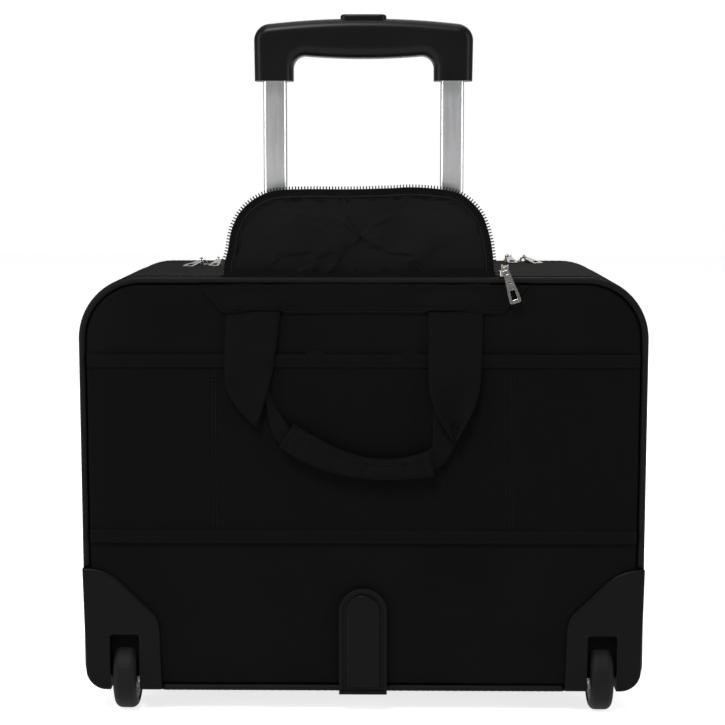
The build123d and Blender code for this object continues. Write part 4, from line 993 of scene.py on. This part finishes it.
def flap():
    mid_y = -93.6 * MM
    middle = (-2 * MM, 374 * MM)
    slab("flap_tape", flap_loop(1.0 * MM), middle, mid_y + 0.9 * MM, -1,
         lambda x, z: 1.8 * MM + 0.25 * MM * np.sin(x * 310 + z * 170), "edge_tape",
         "handle_bay_flap", edge=0.8 * MM, rings=8, slot="grosgrain", replaces=["bay_flap"])
    inner = flap_loop(7.4 * MM)

    def crown(x, z):
        gap = np.clip(away_from(inner, x, z) / (26 * MM), 0, 1)
        return 1.0 * MM + 3.3 * MM * np.sqrt(1 - (1 - gap) ** 2) + 0.25 * MM * ripple(x, z, 5.0, 0.07)

    pad = slab("flap_pad", inner, middle, mid_y - 0.7 * MM, -1, crown, "flap_nylon", "handle_bay_flap",
               edge=2.2 * MM, rings=34, slot="ballistic_nylon")
    rim = len(inner)
    total = len(pad.data.vertices)
    settle(pad, list(range(2 * rim)) + list(range(total - 3 * rim, total)), 2.5, 2.2 * MM)
    back = slab("flap_lining", inner, middle, mid_y + 0.7 * MM, 1,
                lambda x, z: 1.0 * MM + 0.5 * MM * ripple(x, z, 1.0, 0.05) ** 2, "lining", "handle_bay_flap",
                edge=2.5 * MM, rings=16, slot="lining")
    groove = at_depth(even(flap_line(6.7 * MM), 2 * MM), mid_y - 1.0 * MM)[::-1]
    sweep("flap_binding", groove, round_profile(0.9 * MM, 8), (0, 1, 0), "piping_vinyl", "handle_bay_flap",
          slot="piping_vinyl")
    hinge = flap_low.z
    section = [(-99.4 * MM, TOP + 0.3 * MM), (-98.4 * MM, TOP + 2.0 * MM), (-96.6 * MM, hinge + 0.6 * MM),
               (-95.2 * MM, hinge + 1.8 * MM), (-94.5 * MM, hinge + 3.4 * MM)]
    low_rows = []
    high_rows = []
    for y, z in flow(section, 3):
        for x in np.linspace(-107 * MM, 101 * MM, 90):
            lift = 0.25 * MM * math.sin(x * 260 + 900 * z)
            low_rows.append((x, y + 0.5 * MM, z - 0.4 * MM))
            high_rows.append((x, y - 0.4 * MM, z + 0.3 * MM + lift * 0.4))
    rows = len(low_rows) // 90
    faces = grid_faces(rows, 90)
    faces = [f[::-1] for f in faces] + [tuple(rows * 90 + i for i in f) for f in faces]
    border = list(range(90)) + [r * 90 + 89 for r in range(1, rows)]
    border += [(rows - 1) * 90 + c for c in range(88, -1, -1)] + [r * 90 for r in range(rows - 2, 0, -1)]
    faces += [(a, b, rows * 90 + b, rows * 90 + a) for a, b in zip(border, border[1:] + border[:1])]
    strip = piece("flap_hinge_strip", low_rows + high_rows, faces, "edge_tape", None, slot="grosgrain")
    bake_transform(strip)
    edge = at_depth(even(flap_line(0.8 * MM), 2.35 * MM), mid_y)
    out = outward(edge)
    out = out * np.sign(np.sum(out * (edge - np.array([0, mid_y, 0.35])), axis=1))[:, None]
    beads("flap_teeth", edge + out * 0.6 * MM, out, np.tile((0, -1.0, 0), (len(edge), 1)),
          (3.2 * MM, 1.25 * MM, 2.4 * MM), "zip_teeth", "handle_bay_flap", slot="dark_metal")
    stitch = at_depth(even(flap_line(4.9 * MM), 3 * MM), mid_y - 1.05 * MM)
    seam("flap_stitch", stitch, (0, -1, 0), "handle_bay_flap", pitch=2.8 * MM, length=2.0 * MM)


def bay_rim():
    """Tape and teeth round three sides of the bay opening, for the flap's zip."""
    half = 101.5 * MM
    front = -31.8 * MM
    rear = -97.5 * MM
    r = 38 * MM
    q = math.pi / 2
    plan = join_runs(
        run((-half, rear), (-half, front - r), 3 * MM), arc(r - half, front - r, r, 2 * q, q, 2 * MM),
        run((r - half, front), (half - r, front), 3 * MM), arc(half - r, front - r, r, q, 0, 2 * MM),
        run((half, front - r), (half, rear), 3 * MM))
    path = np.column_stack((plan, np.full(len(plan), TOP - 0.6 * MM)))
    path = even(path, 2.5 * MM)
    profile = np.array([(-1.2, -1.6), (-1.2, 1.5), (-0.6, 1.9), (2, 1.9), (5, 1.8), (8, 1.4), (8.2, 0.6), (8, -1.6)]) * MM
    sweep("bay_rim_tape", path[::-1], profile, (0, 0, 1), "edge_tape", "shell", slot="grosgrain")
    teeth = even(path, 2.0 * MM)
    tangent = np.gradient(teeth, axis=0)
    inward = np.column_stack((tangent[:, 1], -tangent[:, 0], np.zeros(len(teeth))))
    inward /= np.linalg.norm(inward, axis=1)[:, None]
    beads("bay_rim_teeth", teeth + inward * 1.6 * MM + np.array([0, 0, 0.9 * MM]), inward,
          np.tile((0, 0, 1.0), (len(teeth), 1)), (2.8 * MM, 1.5 * MM, 1.4 * MM), "zip_teeth", "shell",
          slot="dark_metal")


# =====================================================================
# Zip pulls and sliders
# =====================================================================

def rounded_polygon(points, radius, steps=5):
    """Corners of a small plate outline turned to short arcs."""
    p = np.asarray(points, float)
    out = []
    for i, corner in enumerate(p):
        a = p[i - 1] - corner
        b = p[(i + 1) % len(p)] - corner
        reach = min(radius, 0.45 * np.linalg.norm(a), 0.45 * np.linalg.norm(b))
        a = corner + a / np.linalg.norm(a) * reach
        b = corner + b / np.linalg.norm(b) * reach
        for t in np.linspace(0, 1, steps):
            out.append((1 - t) ** 2 * a + 2 * t * (1 - t) * corner + t * t * b)
    return out


def plate(name, outlines, thick, matrix, material, body, **extra):
    """Flat pressed-metal plate with holes, its edges rounded: the first outline is the outside."""
    curve = bpy.data.curves.new(name, "CURVE")
    curve.dimensions = "2D"
    curve.fill_mode = "BOTH"
    curve.extrude = thick / 2 - 0.25 * MM
    curve.bevel_depth = 0.25 * MM
    curve.bevel_resolution = 2
    for outline in outlines:
        spline = curve.splines.new("POLY")
        spline.points.add(len(outline) - 1)
        for point, (u, v) in zip(spline.points, outline):
            point.co = (u * MM, v * MM, 0, 1)
        spline.use_cyclic_u = True
    holder = bpy.data.objects.new(name, curve)
    mesh = bpy.data.meshes.new_from_object(holder)
    bpy.data.objects.remove(holder)
    points = [matrix @ v.co for v in mesh.vertices]
    faces = [tuple(f.vertices) for f in mesh.polygons]
    return piece(name, points, faces, material, body, smooth=False, slot="dark_metal", **extra)


def circle(u, v, radius, count=16):
    return [(u + radius * math.cos(t), v + radius * math.sin(t))
            for t in np.linspace(0, 2 * math.pi, count, endpoint=False)]


def ring(name, centre, radius, wire, normal, material, body, **extra):
    """Closed wire ring about a centre."""
    normal = Vector(normal).normalized()
    side = normal.orthogonal().normalized()
    other = normal.cross(side)
    rows = []
    for t in np.linspace(0, 2 * math.pi, 28, endpoint=False):
        way = side * math.cos(t) + other * math.sin(t)
        for u in np.linspace(0, 2 * math.pi, 8, endpoint=False):
            rows.append(Vector(centre) + way * (radius + wire * math.cos(u)) + normal * wire * math.sin(u))
    return piece(name, rows, grid_faces(28, 8, True, True), material, body, slot="dark_metal", **extra)


def pull_matrix(pivot, tip, across):
    """Frame of a hanging plate: its v axis runs from the tip up to the pivot, its u axis lies across."""
    up = (Vector(pivot) - Vector(tip)).normalized()
    across = (Vector(across) - up * Vector(across).dot(up)).normalized()
    normal = across.cross(up)
    frame_matrix = Matrix((across, up, normal)).transposed().to_4x4()
    frame_matrix.translation = Vector(pivot)
    return frame_matrix


PULL_BODY = [(-2.2, 0.6), (2.2, 0.6), (2.7, -7), (4.0, -19), (4.3, -25.6), (-4.3, -25.6), (-4.0, -19), (-2.7, -7)]
PULL_WINDOW = [(-2.1, -15.2), (2.1, -15.2), (2.6, -23.4), (-2.6, -23.4)]


def pull(label, pivot, tip, across, body, **extra):
    """Tapered pull: an eye at the top, a small round hole, a window low down and a wire loop to its slider."""
    top = Vector(pivot) + (Vector(tip) - Vector(pivot)).normalized() * 3.6 * MM
    matrix = pull_matrix(top, tip, across)
    outlines = [rounded_polygon(PULL_BODY, 1.8), circle(0, -2.0, 1.0), circle(0, -9.2, 1.0),
                rounded_polygon(PULL_WINDOW, 0.7, 4)]
    plate(f"{label}_tab", outlines, 1.5 * MM, matrix, "dark_metal", body, **extra)
    eye = (Vector(pivot) + top) / 2
    ring(f"{label}_loop", eye, 2.5 * MM, 0.62 * MM, matrix.to_3x3() @ Vector((1, 0, 0.35)), "dark_metal", body)


def slider(label, place, way, up, body):
    """Coil zip slider: a waisted plate above the teeth with a raised bridge."""
    way = Vector(way).normalized()
    up = Vector(up).normalized()
    across = up.cross(way)
    matrix = Matrix((across, way, up)).transposed().to_4x4()
    matrix.translation = Vector(place)
    outline = [(-3.9, 5.2), (3.9, 5.2), (3.2, 0.5), (2.7, -5.2), (-2.7, -5.2), (-3.2, 0.5)]
    plate(f"{label}_plate", [rounded_polygon(outline, 1.6)], 2.2 * MM, matrix, "dark_metal", body)
    arch_points = [(0, -3.4, 1.0), (0, -2.8, 3.2), (0, -0.4, 4.3), (0, 2.2, 3.4), (0, 3.2, 1.0)]
    line = flow([matrix @ Vector((u * MM, v * MM, w * MM)) for u, v, w in arch_points], 5)
    sweep(f"{label}_bridge", line, round_profile(0.95 * MM, 8), tuple(across), "dark_metal", body, slot="dark_metal")


def hardware():
    """Nickel zip pulls: the three that move with their own bodies and the second ones of each zip."""
    z = TOP + 6.9 * MM
    pull("main_pull_nickel", (-124 * MM, MAIN_ZIP_Y, z), (-126 * MM, MAIN_ZIP_Y - 26 * MM, z - 3.4 * MM), (1, 0, 0),
         "main_zip_pull", replaces=["main_pull"])
    pull("front_pull_nickel", (124 * MM, FRONT_ZIP_Y, z), (126 * MM, FRONT_ZIP_Y - 26 * MM, z - 3.4 * MM), (1, 0, 0),
         "front_zip_pull", replaces=["front_pull"])
    pull("flap_pull_nickel", (108 * MM, -103.4 * MM, 352 * MM), (116 * MM, -110.5 * MM, 326.5 * MM), (1, 0, 0.3),
         "flap_zip_pull", replaces=["flap_pull"])
    for label, x, y, turn, body in (("main_second", -138 * MM, MAIN_ZIP_Y, -1, "shell"),
                                    ("front_second", 138 * MM, FRONT_ZIP_Y, 1, "organizer_section")):
        slider(f"{label}_slider", (x, y, TOP + 2.2 * MM), (turn, 0, 0), (0, 0, 1), body)
        pull(f"{label}_pull", (x, y, TOP + 6.2 * MM), (x + turn * 9 * MM, y - 24 * MM, TOP + 3.0 * MM), (1, 0, 0), body)


# =====================================================================
# Carry handles
# =====================================================================

LEFT_OUTER = [(-103.9, 105.9, 319), (-105.4, 106.6, 300), (-106, 108.2, 282), (-105.6, 108.8, 262),
              (-98, 111.0, 246), (-82.6, 113.2, 230.0)]
LEFT_INNER = [(-63, 105.9, 319), (-65.0, 106.6, 300), (-67.4, 108.2, 284), (-70.2, 109.2, 268),
              (-75, 111.2, 250), (-80.8, 113.2, 232.0)]
LEFT_TURN_A = [(-78, 108.4, 262), (-74.5, 108.2, 246), (-71.5, 108.8, 229), (-66, 110.6, 218), (-56, 112.8, 209.5)]
LEFT_TURN_B = [(-73, 107.2, 262), (-69.5, 107.4, 249), (-63, 108.8, 238), (-57, 110.8, 229.5), (-49, 112.6, 223)]
RIGHT_OUTER = [(50.2, 105.9, 319), (50.2, 107.0, 298), (50.2, 109.4, 280), (50.6, 112.0, 262), (53.2, 114.4, 249),
               (59.5, 116.4, 235), (69.0, 116.4, 220)]
RIGHT_INNER = [(91.8, 105.9, 319), (91.6, 106.8, 298), (91.2, 108.6, 280), (90.0, 111.0, 262), (86.4, 113.4, 248),
               (80.0, 115.6, 234), (72.0, 116.4, 220)]
RIGHT_TURN_A = [(55, 107.4, 252), (54.0, 107.6, 236), (53.8, 108.6, 222), (52.6, 110.4, 213.5), (45, 112.2, 209)]
RIGHT_TURN_B = [(84, 107.6, 250), (79, 108.2, 232), (70, 109.6, 213), (61, 111.4, 200), (46, 113.0, 193.5)]
GRIP_LINE = [(-58.5, 112.2, 222.8), (-43, 112.6, 213.0), (-20, 112.8, 203.0), (2.6, 112.8, 197.7), (22, 112.8, 196.8),
             (38, 112.6, 198.3), (53.2, 112.2, 201.4)]
GRIP_TALL = [10.6, 10.9, 9.6, 8.2, 8.0, 8.8, 10.2]


def handle_points(points, facing):
    """Rear coordinates in millimetres turned to metres, on the rear face or, with facing 1, on the front door."""
    shift = 0.0 if facing < 0 else 2.9
    return [(x * MM, facing * (y + shift) * MM, z * MM) for x, y, z in points]


def carry_handle(label, body, node, facing):
    outer = handle_points(LEFT_OUTER, facing)
    inner = handle_points(LEFT_INNER, facing)
    if facing > 0:
        outer, inner = inner, outer
    ribbon(f"{label}_strap_left", outer, inner, 1.7 * MM, "webbing", body, cup=-2.2 * MM * facing, slot="webbing",
           replaces=[node])
    turns = [("left_turn", LEFT_TURN_A, LEFT_TURN_B, 0.6), ("strap_right", RIGHT_OUTER, RIGHT_INNER, -7.6),
             ("right_turn", RIGHT_TURN_A, RIGHT_TURN_B, 0.8)]
    for part, edge_a, edge_b, cup in turns:
        a = handle_points(edge_a, facing)
        b = handle_points(edge_b, facing)
        if facing > 0:
            a, b = b, a
        ribbon(f"{label}_{part}", a, b, 1.6 * MM, "webbing", body, cup=cup * MM * facing, slot="webbing")
    line = flow(handle_points(GRIP_LINE, facing), 14)
    tall = np.interp(np.linspace(0, 1, len(line)), np.linspace(0, 1, len(GRIP_TALL)), GRIP_TALL) * MM
    tangent = np.gradient(line, axis=0)
    tangent /= np.linalg.norm(tangent, axis=1)[:, None]
    a = np.linspace(0, 2 * math.pi, 36, endpoint=False)
    rows = []
    for i, spot in enumerate(line):
        out = np.array([0, facing, 0.0])
        up = np.cross(tangent[i], out)
        up = up if up[2] > 0 else -up
        ring = []
        for t in a:
            u = np.sign(math.cos(t)) * abs(math.cos(t)) ** 0.8 * tall[i]
            v = np.sign(math.sin(t)) * abs(math.sin(t)) ** 0.85 * 5.4 * MM
            crease = 0.35 * MM * math.sin(i * 0.9 + 3 * math.sin(i * 0.13)) * (0.3 + abs(math.sin(2 * t)))
            pinch = max(0.0, (i / len(line) - 0.72) / 0.28) + 0.5 * max(0.0, 1 - i / len(line) / 0.4)
            crease += 0.55 * MM * pinch * math.sin(i * 1.5 + 2.2 * math.cos(t)) * (0.4 + 0.6 * abs(math.sin(t)))
            lip = 1.1 * MM * math.exp(-((u - tall[i] * 0.72) / (1.1 * MM)) ** 2) if v > 0 else 0.0
            notch = -1.0 * MM * math.exp(-((u - tall[i] * 0.50) / (0.7 * MM)) ** 2) if v > 0 else 0.0
            ring.append(spot + up * u + out * (v + crease + lip + notch))
        rows.append(ring)
    points = np.array(rows).reshape(-1, 3)
    faces = grid_faces(len(line), 36, close_cols=True, flip=facing > 0)
    first = tuple(range(36))
    last = tuple((len(line) - 1) * 36 + i for i in range(36))
    faces += [first[::-1], last] if facing < 0 else [first, last[::-1]]
    wrap = piece(f"{label}_grip_wrap", points, faces, "wrap_webbing", body, slot="webbing")
    out = np.array([0, facing, 0.0])
    ups = np.cross(tangent, out)
    ups = ups * np.sign(ups[:, 2])[:, None]
    low = line + ups * (tall * 0.58)[:, None] + out * 5.3 * MM
    seam(f"{label}_grip_seam", low[2:-2], (0, facing, 0), body, pitch=3.0 * MM)
    for share, end in ((0.085, "left"), (0.965, "right")):
        i = int(share * (len(line) - 1))
        cuff = [line[i] + ups[i] * tall[i] * s + out * (5.9 - 2.6 * abs(s) ** 3) * MM for s in np.linspace(-0.9, 0.9, 9)]
        seam(f"{label}_cuff_stitch_{end}", cuff, (0, facing, 0), body, pitch=2.4 * MM, length=1.8 * MM)


# =====================================================================
# Front door, organizer and base
# =====================================================================

def front_side():
    loop = rounded_loop(HALF - PANEL_INSET, UPPER_Z + 1.5 * MM, TOP - PANEL_INSET, 4 * MM, R_TOP - PANEL_INSET, 3 * MM)

    def full(x, z):
        return 3.5 * MM + 1.2 * MM * np.cos(np.clip(x / HALF, -1, 1) * math.pi / 2) ** 0.5 \
            + 0.3 * MM * ripple(x, z, 3.3, 0.1)

    door = slab("door_panel_cloth", loop, (0, 0.22), 99.4 * MM, 1, full, "ballistic_nylon", "front_door", edge=3 * MM,
                rings=50, slot="ballistic_nylon", replaces=["door_panel"])
    low_half = HALF - PANEL_INSET
    base = rounded_loop(low_half, BOTTOM + PANEL_INSET, BASE_RIM_Z, R_BOTTOM - PANEL_INSET, 2 * MM, 3 * MM)
    base_pad = slab("front_base_cloth", base, (0, 0.06), 99.4 * MM, 1,
                    lambda x, z: 4.2 * MM + 0.3 * MM * ripple(x, z, 8.1, 0.09), "ballistic_nylon", "shell",
                    edge=3 * MM, rings=26, slot="ballistic_nylon", replaces=["front_base_panel"])
    pocket_low, pocket_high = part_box("front_pocket")
    half = pocket_high.x
    middle = (pocket_low.z + pocket_high.z) / 2
    pocket_loop = rounded_loop(half, pocket_low.z, pocket_high.z, 16 * MM, 16 * MM, 3 * MM)

    def belly(x, z):
        across = np.clip(1 - (np.abs(x) / half) ** 6, 0, 1)
        up = np.clip(1 - np.abs((z - middle) / (pocket_high.z - middle)) ** 6, 0, 1)
        sag = np.clip((middle - z) / (pocket_high.z - middle), -1, 1)
        return 2.6 * MM + (1.3 + 0.7 * sag) * MM * (across * up) ** 0.5 + 0.3 * MM * ripple(x, z, 6.2, 0.07)

    pocket = slab("front_pocket_cloth", pocket_loop, (0, middle), 104.3 * MM, 1, belly, "ballistic_nylon",
                  "front_door", edge=3 * MM, rings=34, slot="ballistic_nylon", replaces=["front_pocket"])
    rim = rounded_loop(half, pocket_low.z, pocket_high.z, 16 * MM, 16 * MM, 3 * MM)
    sweep("front_pocket_binding", at_depth(rim, 105.2 * MM), round_profile(1.3 * MM, 8), (0, 1, 0), "piping_vinyl",
          "front_door", closed=True, slot="piping_vinyl")
    zip_z = pocket_high.z - 14 * MM
    zip_xs = np.linspace(-half + 18 * MM, half - 18 * MM, 110)
    for way in (-1, 1):
        zs = zip_z + way * np.linspace(0.3, 6.0, 6) * MM
        patch(f"pocket_zip_tape_{'low' if way < 0 else 'high'}", zip_xs, np.sort(zs),
              lambda x, z: 104.3 * MM + belly(x, z), 0.5 * MM, 1, "edge_tape", "front_door", slot="grosgrain")
        spots_x = np.arange(zip_xs[0], zip_xs[-1], 2.0 * MM) + (1.0 * MM if way > 0 else 0)
        z = np.full(len(spots_x), zip_z + way * 0.7 * MM)
        y = 104.3 * MM + belly(spots_x, z) + 0.7 * MM
        beads(f"pocket_zip_teeth_{'low' if way < 0 else 'high'}", np.column_stack((spots_x, y, z)),
              np.tile((0, 0, 1.0), (len(z), 1)), np.tile((0, 1.0, 0), (len(z), 1)),
              (2.8 * MM, 1.5 * MM, 1.1 * MM), "zip_teeth", "front_door", slot="dark_metal")
    corners = [(109, 295), (125, 311), (125, 338), (-125, 338), (-125, 311), (-109, 295)]
    legs = [run(np.array(a) * MM, np.array(b) * MM, 3 * MM) for a, b in zip(corners, corners[1:] + corners[:1])]
    yoke_loop = join_runs(*legs)[:-1]
    slab("door_yoke_patch", yoke_loop, (0, 0.316), 103.2 * MM, 1,
         lambda x, z: full(x, z) - 3.8 * MM + 1.9 * MM, "ballistic_nylon", "front_door", edge=1.2 * MM, rings=14,
         slot="ballistic_nylon", replaces=["door_trim"])
    for inset in (2.5, 5.0):
        edge = [(-125 + inset, 337), (-125 + inset, 311 + inset * 0.4), (-109 + inset * 0.4, 295 + inset),
                (109 - inset * 0.4, 295 + inset), (125 - inset, 311 + inset * 0.4), (125 - inset, 337)]
        line = join_runs(*[run(np.array(a) * MM, np.array(b) * MM, 3 * MM) for a, b in zip(edge, edge[1:])])
        y = 103.2 * MM + full(line[:, 0], line[:, 1]) - 3.8 * MM + 2.2 * MM
        seam(f"door_yoke_stitch_{round(inset * 10)}", np.column_stack((line[:, 0], y, line[:, 1])), (0, 1, 0),
             "front_door")


def inside():
    """Cloth pieces that show when the case is open."""
    low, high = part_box("laptop_divider")
    loop = rounded_loop(high.x, low.z, high.z, 12 * MM, 12 * MM, 5 * MM)
    middle = (0, (low.z + high.z) / 2)
    for facing, label in ((-1, "rear"), (1, "front")):
        pad = slab(f"divider_{label}", loop, middle, 0, facing,
                   lambda x, z: 2.5 * MM + 0.4 * MM * ripple(x, z, 1.5, 0.09), "lining", "shell", edge=2.5 * MM,
                   rings=20, slot="lining", replaces=["laptop_divider"])
    sweep("divider_binding", at_depth(loop, 0), round_profile(1.6 * MM, 8), (0, 1, 0), "edge_tape", "shell",
          closed=True, slot="grosgrain")
    low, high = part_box("lid_partition")
    loop = rounded_loop(high.x, low.z, high.z, 3 * MM, R_TOP - 3 * MM, 5 * MM)
    middle = (0, (low.z + high.z) / 2)
    wall = slab("organizer_partition", loop, middle, high.y, -1,
                lambda x, z: 2.5 * MM + 0.3 * MM * ripple(x, z, 2.5, 0.09), "lining", "organizer_section",
                edge=1 * MM, rings=22, slot="lining", replaces=["lid_partition"])
    organizer_pocket()
    ring_tabs()


def organizer_pocket():
    """Open pocket sewn to the partition: a front that bellies a little, pleated sides, a middle seam and a floor."""
    low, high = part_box("organizer_pocket")
    tall = high.z - low.z
    depth = high.y - low.y - 2.4 * MM
    fold = 3.0 * MM

    def side(x, inward):
        return [(x, low.y), (x + inward * 0.3 * fold, low.y + 0.25 * depth), (x + inward * fold, low.y + 0.5 * depth),
                (x + inward * 0.3 * fold, low.y + 0.75 * depth), (x, low.y + depth - 2 * MM)]

    half = high.x - 1 * MM
    plan = side(-half, 1) + [(-half + 4 * MM, low.y + depth)]
    plan += [(x, low.y + depth) for x in np.linspace(-half + 30 * MM, half - 30 * MM, 9)]
    plan += [(half - 4 * MM, low.y + depth)] + side(half, -1)[::-1]
    line = even(flow(plan), 4 * MM)
    path = np.column_stack((line, np.zeros(len(line))))

    def belly(i, count, spot, profile):
        up = (profile[:, 1] - low.z) / tall
        across = math.sin(math.pi * min(1.0, abs(spot[0]) / half) ) if spot[1] > low.y + 0.9 * depth else 0.0
        puff = 1.2 * MM * across * np.sin(np.clip(up, 0, 1) * math.pi * 0.8) ** 0.7
        return puff - 0.8 * MM + 0.3 * MM * ripple(spot[0] + 0 * up, profile[:, 1], 9.0, 0.06) * across

    cloth = sweep("organizer_pocket_cloth", path, strip_profile(low.z, high.z, 1.0 * MM, 24), (0, 0, 1), "lining",
                  "organizer_section", swell=belly, slot="lining", replaces=["organizer_pocket"])
    rim = path + np.array([0, 0, high.z])
    sweep("organizer_pocket_binding", rim, round_profile(1.3 * MM, 8), (0, 0, 1), "edge_tape", "organizer_section",
          slot="grosgrain")
    middle = np.column_stack((np.zeros(6), np.linspace(low.y, low.y + depth - 1 * MM, 6), np.zeros(6)))
    sweep("organizer_pocket_divider", middle, strip_profile(low.z, high.z - 1 * MM, 1.2 * MM, 12, -0.6 * MM), (0, 0, 1),
          "lining", "organizer_section", slot="lining")
    xs = np.linspace(-half + 3 * MM, half - 3 * MM, 60)
    ys = np.linspace(low.y, low.y + depth - 1 * MM, 8)
    gx, gy = np.meshgrid(xs, ys)
    floor_z = low.z + 1.0 * MM + 0.3 * MM * ripple(gx, gy, 4.0, 0.05)
    over = np.dstack((gx, gy, floor_z + 0.6 * MM)).reshape(-1, 3)
    under = np.dstack((gx, gy, floor_z - 0.6 * MM)).reshape(-1, 3)
    faces = grid_faces(8, 60)
    faces += [tuple(480 + i for i in f[::-1]) for f in faces]
    border = list(range(60)) + [r * 60 + 59 for r in range(1, 8)] + [420 + c for c in range(58, -1, -1)]
    border += [r * 60 for r in range(6, 0, -1)]
    for a, b in zip(border, border[1:] + border[:1]):
        faces.append((a, 480 + a, 480 + b, b))
    piece("organizer_pocket_floor", np.vstack((over, under)), faces, "lining", "organizer_section", slot="lining")


def ring_tabs():
    """Webbing loops that hold the side rings' bars, sewn flat to the gusset above them."""
    ring_low, ring_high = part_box("d_ring_right")
    tab_low, tab_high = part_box("d_ring_tabs")
    bar_x = (ring_low.x + ring_high.x) / 2
    bar_z = ring_high.z - (ring_high.x - ring_low.x) / 2
    middle_y = (tab_low.y + tab_high.y) / 2
    width = tab_high.y - tab_low.y - 1 * MM
    wire = (ring_high.x - ring_low.x) / 2
    r = wire + 0.95 * MM
    q = math.pi / 2
    top = bar_z + 16 * MM
    inner_x = HALF + 0.7 * MM
    down = run((inner_x, top), (inner_x, bar_z + 5 * MM), 1.5 * MM)
    turn = arc(bar_x, bar_z, r, 2 * q, 4 * q, 0.8 * MM)
    up = np.array([(bar_x + r - 0.1 * MM, bar_z + 2 * MM), (bar_x + 1.2 * MM, bar_z + 5.5 * MM),
                   (inner_x + 1.7 * MM, bar_z + 8 * MM), (inner_x + 1.5 * MM, top)])
    line = even(flow(np.vstack((down[::3], turn[::2], up)), 6), 0.8 * MM)
    for way, label in ((-1, "left"), (1, "right")):
        path = np.column_stack((way * line[:, 0], np.full(len(line), middle_y), line[:, 1]))
        path = path if way > 0 else path[::-1]
        sweep(f"ring_tab_{label}", path, strip_profile(-width / 2, width / 2, 1.2 * MM, 8, -0.6 * MM), (0, 1, 0),
              "webbing", "shell", slot="webbing", replaces=["d_ring_tabs"])
        for z in (bar_z + 10.5 * MM, bar_z + 14 * MM):
            ys = middle_y + np.linspace(-width / 2 + 1.5 * MM, width / 2 - 1.5 * MM, 12)
            spots = np.column_stack((np.full(12, way * (inner_x + 2.2 * MM)), ys, np.full(12, z)))
            seam(f"ring_tab_stitch_{label}_{round(z * 1e4)}", spots, (way, 0, 0), "shell", pitch=2.6 * MM, length=1.9 * MM)


aim_camera()
studio()
dress_cad_nodes()
rear_face()
yoke()
snaps()
piping()
gussets()
zips()
flap()
bay_rim()
hardware()
carry_handle("rear_carry", "rear_carry_handle", "rear_handle", -1)
carry_handle("front_carry", "front_carry_handle", "front_handle", 1)
front_side()
inside()

floor = bpy.data.meshes.new("floor")
floor.from_pydata([(-6, -6, 0), (6, -6, 0), (6, 6, 0), (-6, 6, 0)], [], [(0, 1, 2, 3)])
floor_piece = bpy.data.objects.new("floor", floor)
bpy.context.collection.objects.link(floor_piece)
pale = Nodes("pale_floor")
speck = pale.noise(60, 3)
floor.materials.append(pale.finish(pale.ramp(speck, (0.60, 0.60, 0.60), (0.63, 0.63, 0.63)), pale.level(speck, 0.7, 0.8),
                                   Emission_Color=(1, 1, 1, 1), Emission_Strength=0.78))
